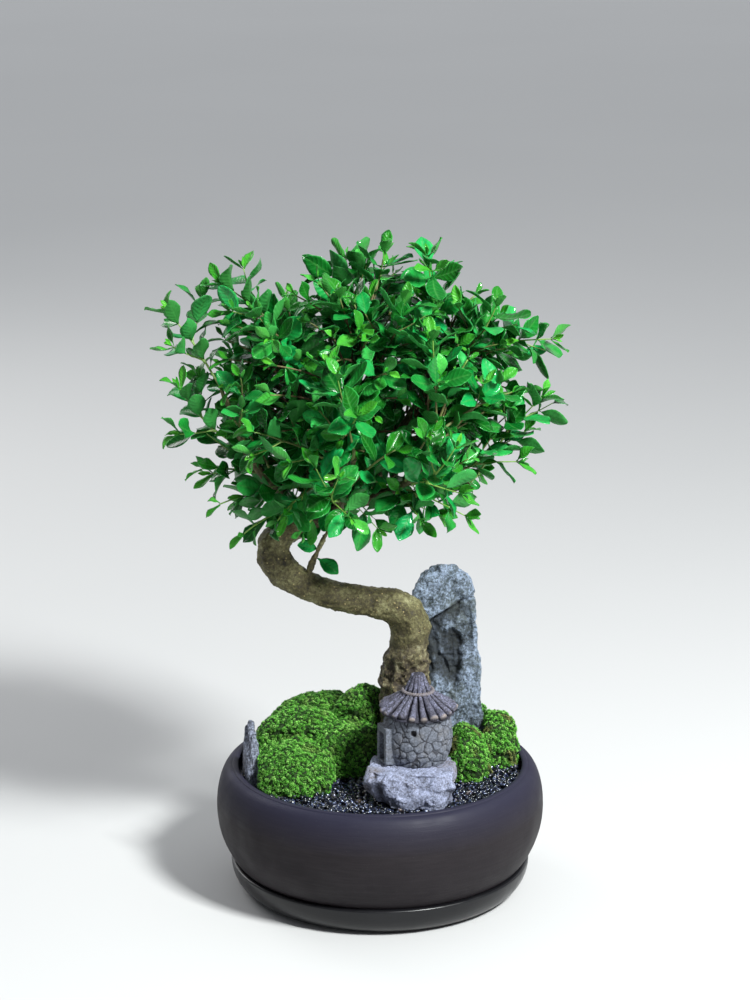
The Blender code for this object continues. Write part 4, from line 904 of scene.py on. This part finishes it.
def make_roof(centre):
    """An even cone, reeds on it, a rope round it, and short reeds above the rope."""
    roof_low, roof_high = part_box("hut_roof")
    eave, tall = (roof_high.x - roof_low.x) / 2, roof_high.z - roof_low.z
    tie_radius, tie_height, tuft_radius = eave * 0.385, tall * 0.53, eave * 0.15
    finish = thatch_paint()
    foot = Vector((centre.x, centre.y, roof_low.z))

    def slope(share):
        """Radius and height of the roof's surface, from eave (0) to tie (1) to tip (2)."""
        if share <= 1:
            radius = eave * 0.93 + (tie_radius * 0.8 - eave * 0.93) * share
            return radius, 0.0022 + (tie_height - 0.0022) * (max(share, 0.0) ** 1.15) + min(share, 0.0) * 0.004
        t = share - 1
        radius = tie_radius * 0.78 + (tuft_radius * 0.75 - tie_radius * 0.78) * t ** 0.8
        return radius, tie_height + (tall * 0.985 - tie_height) * t

    profile = [(0.0, 0.0004), (eave * 0.88, 0.0004)]
    profile += [(slope(i / 8)[0] - 0.0012, slope(i / 8)[1] - 0.0010) for i in range(9)]
    profile += [(slope(1 + i / 5)[0] - 0.0009, slope(1 + i / 5)[1]) for i in range(1, 6)]
    profile += [(0.0, tall * 0.97)]
    cone = turned_mesh("roof_cone", profile, 64)
    for vertex in cone.vertices:
        vertex.co += foot
    # The cone shows only between the reeds; painted shade darkens all of it.
    add_float(cone, "joint_and_shade", [0.75] * len(cone.vertices))
    object_of("hut_roof_cone", cone, finish, ["hut_roof"])
    rng = random.Random(SEED + 2)
    tubes = []
    for i in range(REEDS):
        turn = 2 * math.pi * (i + rng.uniform(-0.12, 0.12)) / REEDS
        out = outwards(turn)
        path, radii, thick = [], [], rng.uniform(0.82, 1.10)
        overhang = rng.uniform(-0.04, 0.07)
        for k in range(9):
            radius, height = slope(overhang * (1 - k / 8) + k / 8)
            path.append(foot + out * radius + Vector((0, 0, height - 0.0002)))
            radii.append((0.00325 - 0.00190 * k / 8) * thick)
        tubes.append((path, radii, 0.98))
    for i in range(TUFT_REEDS):
        turn = 2 * math.pi * (i + rng.uniform(-0.15, 0.15)) / TUFT_REEDS
        out = outwards(turn)
        path, radii = [], []
        for k in range(6):
            radius, height = slope(1 + k / 5 * rng.uniform(0.94, 1.0))
            path.append(foot + out * radius + Vector((0, 0, height)))
            radii.append(0.00165 - 0.00060 * k / 5)
        tubes.append((path, radii, 0.8))
    reeds = subdivided(joined_tubes("roof_reeds", tubes, 10))

    def grain(point, normal):
        return fractal(Vector((point.x, point.y, point.z * 0.35)), 0.0020, 3, 0.6) * 0.00036

    displace(reeds, grain)

    def slope_under(flat):
        """The height of the reeds' middles at a distance from the hut's axis."""
        return slope((eave * 0.93 - flat) / (eave * 0.93 - tie_radius * 0.8))[1] if flat > tie_radius else 0.0

    dirt_and_shade, ends = [], []
    for raw in vectors(reeds, "co"):
        point = Vector(raw) - foot
        flat = math.hypot(point.x, point.y)
        # Painted shade low between the reeds, and patches of grime.
        groove_shade = 1 - step(-0.0002, 0.0017, point.z - slope_under(flat))
        dirt_and_shade.append(max(0.90 * groove_shade, 0.40 * step(0.4, 0.8, noise.noise(point / 0.004) + 0.5)))
        ends.append(0.65 * step(eave * 0.905, eave * 0.950, flat))
    add_float(reeds, "joint_and_shade", dirt_and_shade)
    add_float(reeds, "end", ends)
    object_of("hut_roof_reeds", reeds, finish, ["hut_roof"])
    strands = []
    for phase in (0.0, math.pi):
        path = []
        for i in range(145):
            turn = 2 * math.pi * i / 144
            twist = turn * 17 + phase
            radius = tie_radius * 0.92 + 0.0006 * math.cos(twist)
            rise = tie_height + 0.0004 + 0.0006 * math.sin(twist)
            path.append(foot + Vector((radius * math.cos(turn), radius * math.sin(turn), rise)))
        strands.append((path, [0.00072] * len(path), 1.0))
    rope = joined_tubes("roof_rope", strands, 8)
    add_float(rope, "joint_and_shade", [0.0] * len(rope.vertices))
    add_float(rope, "end", [0.35] * len(rope.vertices))
    object_of("hut_roof_rope", rope, finish, ["hut_roof"])


def make_hut():
    low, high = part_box("hut_roof")
    centre = Vector(((low.x + high.x) / 2, (low.y + high.y) / 2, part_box("hut_walls")[0].z))
    make_walls(centre)
    make_roof(centre)


# ---------------------------------------------------------------- trunk

# Where the wood bends hard: x, y, height over the gravel, and how far the wrinkles reach.
BENDS = ((-0.0690, -0.0040, 0.150, 0.020), (0.0170, 0.0020, 0.104, 0.018))


def make_trunk():
    """Bark over the node's wood: smooth rounds, wrinkled bends and a gnarled, swollen root crown."""
    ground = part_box("gravel")[1].z
    mesh = remeshed(cad_mesh("trunk"), 0.00085, 8)
    hollow_shades, ages = [], []

    def bark(point, normal):
        height = point.z - ground
        age = 1 - step(0.072, 0.100, height + noise.noise(point / 0.010) * 0.012)
        rise = fractal(point, 0.014, 4, 0.55) * 0.0010 + fractal(point + Vector((5, 0, 0)), 0.0040, 3, 0.6) * 0.0004
        gnarl = (ridges(point + Vector((3, 1, 0)), 0.0105, 4) - 0.58) * 0.0046
        folds = noise.noise(Vector((point.x * 0.5, point.y * 0.5, point.z * 1.6)) / 0.010) * 0.0022
        rise += age * (gnarl + folds)
        for x, y, z, reach in BENDS:
            near = 1 - step(reach * 0.4, reach, (point - Vector((x, y, ground + z))).length)
            if near > 0:
                rise += near * (ridges(point + Vector((0, 0, 7)), 0.0065) - 0.6) * 0.0016
        bumps = noise.voronoi(point / 0.0042)[0][0]
        rise += (1 - step(0.05, 0.22, bumps)) * 0.00045
        # How deep the bark sinks here, for the painted shade in its recesses.
        hollow_shades.append((-rise - 0.0003) / 0.0020)
        ages.append(age)
        return rise * (1.0 if height < 0.185 else 0.35)

    displace(mesh, bark)
    add_float(mesh, "hollow_shade", hollow_shades)
    add_float(mesh, "age", ages)
    object_of("trunk_bark", mesh, bark_paint(), ["trunk"])


# ---------------------------------------------------------------- leaves and twigs

class Blade:
    """A leaf: where it leaves its twig, its tip, its width across, and the way its upper side faces."""

    def __init__(self, base, tip, across):
        self.base, self.tip = base, tip
        self.length = (tip - base).length
        self.way = (tip - base).normalized()
        self.across = across.normalized()
        self.width = across.length
        self.face = self.across.cross(self.way).normalized()
        outward = Vector((0.0, -0.15, 1.0))
        if self.face.dot(outward) < 0:
            self.face.negate()
            self.across.negate()

    def middle(self):
        return self.base.lerp(self.tip, 0.6)


def read_spray(name):
    """The leaves of a spray, and its twig with the leaves taken off."""
    bm = cad_mesh(name)
    blades, spare = [], []
    for vert in bm.verts:
        around = [edge.other_vert(vert) for edge in vert.link_edges]
        if len(around) != 4 or any(len(face.verts) != 3 for face in vert.link_faces):
            continue
        reach = sum((other.co - vert.co).length for other in around) / 4
        near = sorted(around[1:], key=lambda other: (other.co - around[0].co).length)
        if reach < 0.004 or (near[0].co - around[0].co).length > 0.0015:
            continue
        first = (around[0].co + near[0].co) / 2
        second = (near[1].co + near[2].co) / 2
        if (second - first).length < 0.004:
            continue
        feet = {edge.other_vert(corner) for corner in around for edge in corner.link_edges}
        feet -= set(around) | {vert}
        base = sum((foot.co for foot in feet), Vector()) / len(feet)
        blades.append(Blade(base, vert.co.copy(), second - first))
        spare += around + [vert]
    bmesh.ops.delete(bm, geom=list(set(spare)), context="VERTS")
    bmesh.ops.holes_fill(bm, edges=[edge for edge in bm.edges if edge.is_boundary])
    return blades, bm


# Points from a leaf's midrib to its margin, and steps from its stalk to its tip.
ACROSS, ALONG = 3, 10


def leaf_rows(blade, rng, youth):
    """The rows of one leaf, from stalk to tip: (across, along, up, share across, share along) points.

    The blade is obovate, folded a little along its midrib, curled, twisted and faintly waved.
    """
    length, width = blade.length, blade.width * rng.uniform(0.92, 1.08) * (1 - 0.25 * youth)
    fold = rng.uniform(0.06, 0.34) + 0.35 * youth
    bow = rng.uniform(-0.12, 0.14)
    wave, ripple = rng.uniform(0, ANY_TURN), rng.uniform(0.015, 0.060)
    blunt, widest = rng.uniform(0.55, 0.85), rng.uniform(1.00, 1.35)
    point, frill = rng.uniform(0.0, 0.30), rng.uniform(0.0, 0.05)
    twist = rng.uniform(-0.35, 0.35)
    stalk = rng.uniform(0.06, 0.12)
    rows = []
    for i in range(ALONG + 1):
        share = (1 - math.cos(math.pi * i / ALONG)) / 2
        t = 0.0 if i == 0 else stalk + (1 - stalk) * share
        half = 0.035 + 0.465 * math.sin(math.pi * share ** widest) ** blunt if 0 < i < ALONG else 0.035
        half *= (1 - point * step(0.70, 1.0, t)) * (1 + frill * math.sin(wave + 23 * t))
        lift = bow * length * math.sin(math.pi * t)
        turn = twist * t
        row = []
        for j in range(-ACROSS, ACROSS + 1):
            u = j / ACROSS
            x = u * half * width
            z = abs(x) * fold + ripple * length * math.sin(wave + t * 9 + u * 1.5) * abs(u)
            row.append((x * math.cos(turn) - z * math.sin(turn), t * length,
                        lift + x * math.sin(turn) + z * math.cos(turn), abs(u), t))
        rows.append(row)
    return rows


def leaf_faces():
    """Faces of a closed leaf: its upper side, its lower side, and the edge between them."""
    columns, rows = 2 * ACROSS + 1, ALONG + 1
    count = rows * columns
    faces = []
    for i in range(ALONG):
        for j in range(columns - 1):
            a = i * columns + j
            quad = (a, a + 1, a + columns + 1, a + columns)
            faces += [quad, tuple(count + k for k in reversed(quad))]
    ring = [(0, j) for j in range(columns)] + [(i, columns - 1) for i in range(1, rows)]
    ring += [(ALONG, j) for j in range(columns - 2, -1, -1)] + [(i, 0) for i in range(ALONG - 1, 0, -1)]
    ring = [i * columns + j for i, j in ring]
    faces += [(b, a, count + a, count + b) for a, b in zip(ring, ring[1:] + ring[:1])]
    return np.array(faces)


LEAF_FACES = leaf_faces()
LEAF_THICKNESS = 0.0003


def leaves_mesh(name, grown, rng):
    """One mesh of all the (blade, youth) leaves, with what their material needs to know."""
    points, shade = [], []
    for blade, youth in grown:
        rows = leaf_rows(blade, rng, youth)
        for side in (1, -1):
            for row in rows:
                for x, y, z, u, t in row:
                    rise = z + side * LEAF_THICKNESS * (0.5 if u < 1 else 0.18)
                    points.append(blade.base + blade.across * x + blade.way * y + blade.face * rise)
                    shade.append((u, t, 0.0 if side > 0 else 1.0, youth))
    step_up = 2 * (ALONG + 1) * (2 * ACROSS + 1)
    faces = np.concatenate([LEAF_FACES + i * step_up for i in range(len(grown))])
    mesh = mesh_from_arrays(name, np.array([p[:] for p in points]), faces)
    shade = np.array(shade)
    for column, label in enumerate(("across", "along", "under", "youth")):
        add_float(mesh, label, shade[:, column])
    return mesh


def node_pairs(blades):
    """Groups of leaves that leave the twig at one place."""
    groups = []
    for blade in blades:
        for group in groups:
            if (group[0].base - blade.base).length < 0.0034:
                group.append(blade)
                break
        else:
            groups.append([blade])
    return groups


def upturned(way, face, place, centre):
    """A leaf's face, turned about its length towards the sky and the outside of the crown."""
    outside = (place - centre).normalized()
    wanted = face + outside * 0.9 + Vector((0, 0, 0.7))
    return (wanted - way * wanted.dot(way)).normalized()


def new_leaf(base, along, out, length, lean, shape, centre):
    """A leaf on a twig that heads along, leaving it on the side out."""
    way = (along * math.cos(lean) + out * math.sin(lean)).normalized()
    face = upturned(way, along * math.sin(lean) - out * math.cos(lean), base, centre)
    return Blade(base, base + way * length, way.cross(face).normalized() * (length * shape))


class Crowding:
    """Keeps the middles of the leaves a little apart."""

    def __init__(self, room):
        self.room = room
        self.cells = {}

    def key(self, place):
        return tuple(math.floor(c / self.room) for c in place)

    def take(self, place, share=1.0):
        """Whether the place is free; if it is, it is taken."""
        a, b, c = self.key(place)
        for i in (a - 1, a, a + 1):
            for j in (b - 1, b, b + 1):
                for k in (c - 1, c, c + 1):
                    if any((other - place).length < self.room * share for other in self.cells.get((i, j, k), ())):
                        return False
        self.cells.setdefault((a, b, c), []).append(place.copy())
        return True


def read_crown():
    """What the frame's sprays give: each one's leaves and twig, and the crown's centre and reach."""
    sprays = {name: read_spray(name) for name in sorted(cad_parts) if name.startswith("spray_")}
    middles = np.array([(b.base + b.tip)[:] for blades, _ in sprays.values() for b in blades]) / 2
    centre = middles.mean(axis=0)
    return sprays, Vector(centre), Vector(middles.std(axis=0) * 1.75)


def twig_foot(bm, wood):
    """The end of a spray's twig nearest the wood: its middle, and the nearest bark."""
    ranked = sorted(bm.verts, key=lambda v: wood.find_nearest(v.co)[3])[:4]
    foot = sum((v.co for v in ranked), Vector()) / 4
    return foot, wood.find_nearest(foot)[0]


def tapered(stems):
    """One mesh of tapering stems, each (path, first radius, last radius)."""
    tubes = []
    for path, first, last in stems:
        count = len(path) - 1
        tubes.append((path, [first + (last - first) * i / count for i in range(count + 1)], 1.0))
    return joined_tubes("stems", tubes, 7)


def outness(place, centre, reach):
    """How far out a place is: 0 in the middle of the crown, 1 about its surface."""
    return Vector([(a - b) / c for a, b, c in zip(place, centre, reach)]).length


def nearest_spray(middles, place):
    return min(middles, key=lambda name: (middles[name] - place).length)


# Shoots low on the crown, by where they end, and leaves on the low side shoot: (place, way, length).
LOW_SHOOTS = (
    (-0.104, -0.020, 0.270), (-0.088, -0.034, 0.254), (-0.066, -0.038, 0.264), (-0.116, -0.006, 0.290),
    (-0.050, -0.034, 0.256), (-0.094, 0.020, 0.262), (-0.060, 0.028, 0.258), (-0.028, -0.030, 0.262),
)
LOW_LEAVES = (
    ((-0.0360, -0.004, 0.2295), (0.70, -0.30, -0.45), 0.0175),
    ((-0.0390, -0.004, 0.2380), (-0.80, -0.30, 0.25), 0.0150),
    ((-0.0340, -0.003, 0.2430), (0.75, -0.30, 0.10), 0.0180),
    ((-0.0360, -0.003, 0.2460), (-0.80, -0.40, -0.30), 0.0160),
)
# The shoots between the frame's sprays: their number, usual length, steps, room from leaf pair to leaf pair,
# and the lowest end, as a share of the crown's height over its middle.
FILL_SHOOTS = 150
FILL_LENGTH = 0.050
SHOOT_STEPS = 12
FILL_SPACING = 0.0105
LOWEST = -0.80
# How far apart the middles of leaves stay.
LEAF_GAP = 0.0066


def fill_targets(centre, reach, rng):
    """Where the shoots between the frame's sprays end: evenly round the crown, at several depths."""
    golden = math.pi * (3 - math.sqrt(5))
    for i in range(FILL_SHOOTS):
        up = 1 - (1 - LOWEST) * (i + 0.5) / FILL_SHOOTS
        turn = i * golden
        flat = math.sqrt(1 - up * up)
        way = Vector((math.cos(turn) * flat, math.sin(turn) * flat, up))
        depth = rng.choice((0.95, 0.88, 0.78, 0.64))
        yield centre + Vector([w * r for w, r in zip(way, reach)]) * depth * rng.uniform(0.95, 1.03)


def fill_shoot(target, anchors, centre, reach, crowding, rng):
    """A shoot from the limbs to the target: its path, and its leaves in crossed pairs."""
    low = centre - Vector((0, 0, reach.z * 0.7))
    outward = (target - low).normalized()
    best = min(anchors, key=lambda a: abs((target - a).length - FILL_LENGTH)
               - 0.03 * (target - a).normalized().dot(outward) + rng.random() * 0.004)
    bend = best.lerp(target, 0.5) + Vector((rng.uniform(-1, 1), rng.uniform(-1, 1), 1.2)) * 0.005
    path = [best.lerp(bend, t).lerp(bend.lerp(target, t), t) for t in (i / SHOOT_STEPS for i in range(SHOOT_STEPS + 1))]
    length = sum((b - a).length for a, b in zip(path, path[1:]))
    pairs = max(3, int(length * 0.82 / FILL_SPACING))
    side = (target - best).cross(Vector((rng.uniform(-1, 1), rng.uniform(-1, 1), rng.uniform(-1, 1)))).normalized()
    leaves = []
    for number in range(pairs + 1):
        share = 1.0 - number * FILL_SPACING / length
        at = max(0.0, share * SHOOT_STEPS)
        first = min(SHOOT_STEPS - 1, int(at))
        place = path[first].lerp(path[first + 1], at - first)
        along = (path[first + 1] - path[first]).normalized()
        out = (side - along * side.dot(along)).normalized()
        if number % 2:
            out = along.cross(out)
        for way in (out, -out):
            if number == 0:
                size, lean, youth = rng.uniform(0.008, 0.014), rng.uniform(0.35, 0.65), rng.uniform(0.55, 1.0)
            else:
                size, lean = rng.uniform(0.0175, 0.0245), rng.uniform(0.75, 1.20)
                size *= 0.78 if number == 1 else 1.0
                youth = rng.uniform(0.15, 0.5) if number == 1 else rng.uniform(0.0, 0.2)
            leaf = new_leaf(place + way * 0.0006, along, way, size, lean, rng.uniform(0.50, 0.62), centre)
            if crowding.take(leaf.middle(), 0.6 if number == 0 else 1.0):
                leaves.append((leaf, youth))
    return path, leaves


def spray_leaves(blades, centre, reach, crowding, rng):
    """The frame's leaves of one spray, and a few more between its pairs and at its tips."""
    grown = []
    for blade in blades:
        crowding.take(blade.middle(), 0.0)
    for group in node_pairs(blades):
        middle = sum((blade.base for blade in group), Vector()) / len(group)
        along = sum((blade.way for blade in group), Vector())
        size = sum(blade.length for blade in group) / len(group)
        at_tip = len(group) > 1 and size < 0.0175
        grown += [(blade, rng.uniform(0.45, 0.8) if at_tip else rng.uniform(0.0, 0.2)) for blade in group]
        if len(group) < 2 or along.length < 0.3:
            continue
        along.normalize()
        side = (group[0].way - along * group[0].way.dot(along)).normalized()
        other = along.cross(side).normalized()
        for out in (other, -other):
            if at_tip:
                leaf = new_leaf(middle + along * 0.0006, along, out, rng.uniform(0.006, 0.010),
                                rng.uniform(0.3, 0.6), 0.45, centre)
                grown.append((leaf, 1.0))
                continue
            leaf = new_leaf(middle - along * 0.0065 + out * 0.0006, along, out, size * rng.uniform(0.75, 0.98),
                            rng.uniform(0.85, 1.15), 0.56, centre)
            if outness(leaf.tip, centre, reach) < 1.08 and crowding.take(leaf.middle()):
                grown.append((leaf, rng.uniform(0.0, 0.2)))
    return grown


def make_crown():
    """Leaves and twigs on every spray of the frame, and leafy shoots that close the crown between them."""
    rng = random.Random(SEED + 3)
    leaf_finish, twig_finish = leaf_paint(), twig_paint()
    sprays, centre, reach = read_crown()
    wood = cad_tree("trunk")
    crowding = Crowding(LEAF_GAP)
    grown = {name: spray_leaves(blades, centre, reach, crowding, rng) for name, (blades, _) in sprays.items()}
    trunk = cad_mesh("trunk")
    fork = centre.z - reach.z * 1.02
    anchors = [v.co.copy() for v in trunk.verts if v.co.z > fork]
    trunk.free()
    stems = {name: [] for name in sprays}
    middles = {name: sum((b.base for b in blades), Vector()) / len(blades) for name, (blades, _) in sprays.items()}
    for place, out, length in LOW_LEAVES:
        base, way = wood.find_nearest(Vector(place))[0], Vector(out).normalized()
        face = Vector((0.1, -0.8, 0.5))
        across = way.cross(face - way * face.dot(way)).normalized() * (length * 0.62)
        leaf = Blade(base, base + way * length, across)
        grown[nearest_spray(middles, leaf.tip)].append((leaf, 0.1))
    for target in [Vector(place) for place in LOW_SHOOTS] + list(fill_targets(centre, reach, rng)):
        path, leaves = fill_shoot(target, anchors, centre, reach, crowding, rng)
        owner = nearest_spray(middles, path[9])
        stems[owner].append((path, 0.0010, 0.00045))
        grown[owner] += leaves
    for name, (blades, twig) in sprays.items():
        mesh = leaves_mesh(name + "_leaves", grown[name], rng)
        object_of(name + "_leaves", mesh, leaf_finish, [name])
        foot, bark = twig_foot(twig, wood)
        inward = (bark - foot).normalized()
        stems[name].append(([bark + inward * 0.0015, bark, foot, foot - inward * 0.002], 0.0016, 0.0010))
        joined = bmesh.new()
        joined.from_mesh(subdivided(mesh_of("twig", twig)))
        joined.from_mesh(tapered(stems[name]))
        stem = mesh_of(name + "_twigs", joined)
        add_float(stem, "young", [step(0.55, 1.15, outness(p, centre, reach) + noise.noise(Vector(p) / 0.02) * 0.1)
                                  for p in vectors(stem, "co")])
        object_of(name + "_twigs", stem, twig_finish, [name])


# ---------------------------------------------------------------- stage

def make_stage():
    """A pale floor and surroundings, a key from the front right, a fill from behind and a broad ceiling light."""
    bpy.ops.mesh.primitive_plane_add(size=60.0, location=(0, 0, -0.0002))
    floor = bpy.context.object
    floor.name = "floor"
    paint = Paint("floor", Roughness=0.85)
    paint.set("Base Color", paint.mix(paint.noise(0.6, 2), (0.60, 0.60, 0.60), (0.63, 0.63, 0.63)))
    floor.data.materials.append(paint.material)
    bpy.context.scene.view_settings.view_transform = "Standard"
    world = bpy.data.worlds.new("studio")
    bpy.context.scene.world = world
    world.use_nodes = True
    background = world.node_tree.nodes["Background"]
    background.inputs["Color"].default_value = (0.86, 0.90, 0.96, 1.0)
    background.inputs["Strength"].default_value = 0.22
    for name, place, size, power, colour in (
        ("key", (0.90, -1.00, 1.45), 0.34, 62.0, (0.97, 1.0, 0.99)),
        ("back_fill", (-1.10, 1.20, 1.10), 0.80, 8.0, (1.0, 0.99, 0.97)),
        ("ceiling", (0.0, 3.0, 3.5), 12.0, 235.0, (0.94, 0.97, 1.0)),
    ):
        light = bpy.data.lights.new(name, "AREA")
        light.energy = power
        light.size = size
        light.color = colour
        lamp = bpy.data.objects.new(name, light)
        bpy.context.scene.collection.objects.link(lamp)
        lamp.location = place
        aim = Vector((0, 0, 0.2)) - lamp.location
        lamp.rotation_euler = aim.to_track_quat("-Z", "Y").to_euler()


def make_camera():
    data = bpy.data.cameras.new("camera")
    data.lens = LENS_MM
    data.sensor_width = SENSOR_MM
    data.sensor_fit = "AUTO"
    data.dof.use_dof = False
    camera = bpy.data.objects.new("camera", data)
    bpy.context.scene.collection.objects.link(camera)
    camera.location = CAMERA_PLACE
    camera.rotation_euler = (math.radians(90 - CAMERA_DOWN), 0, 0)
    bpy.context.scene.camera = camera


def paint_kept_nodes():
    """The nodes that stay as they are: the soil, and the screen under it."""
    for name, finish in (("soil", soil_paint()), ("drain_screen", plastic_paint())):
        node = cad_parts[name]
        node.data.materials.clear()
        node.data.materials.append(finish)


make_camera()
make_stage()
cushions = sorted(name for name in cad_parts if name.startswith("moss_"))
make_saucer()
make_pot()
make_gravel(cushions, ["standing_stone", "base_stone", "rim_stone"])
make_moss(cushions)
make_stones()
make_hut()
make_trunk()
make_crown()
paint_kept_nodes()
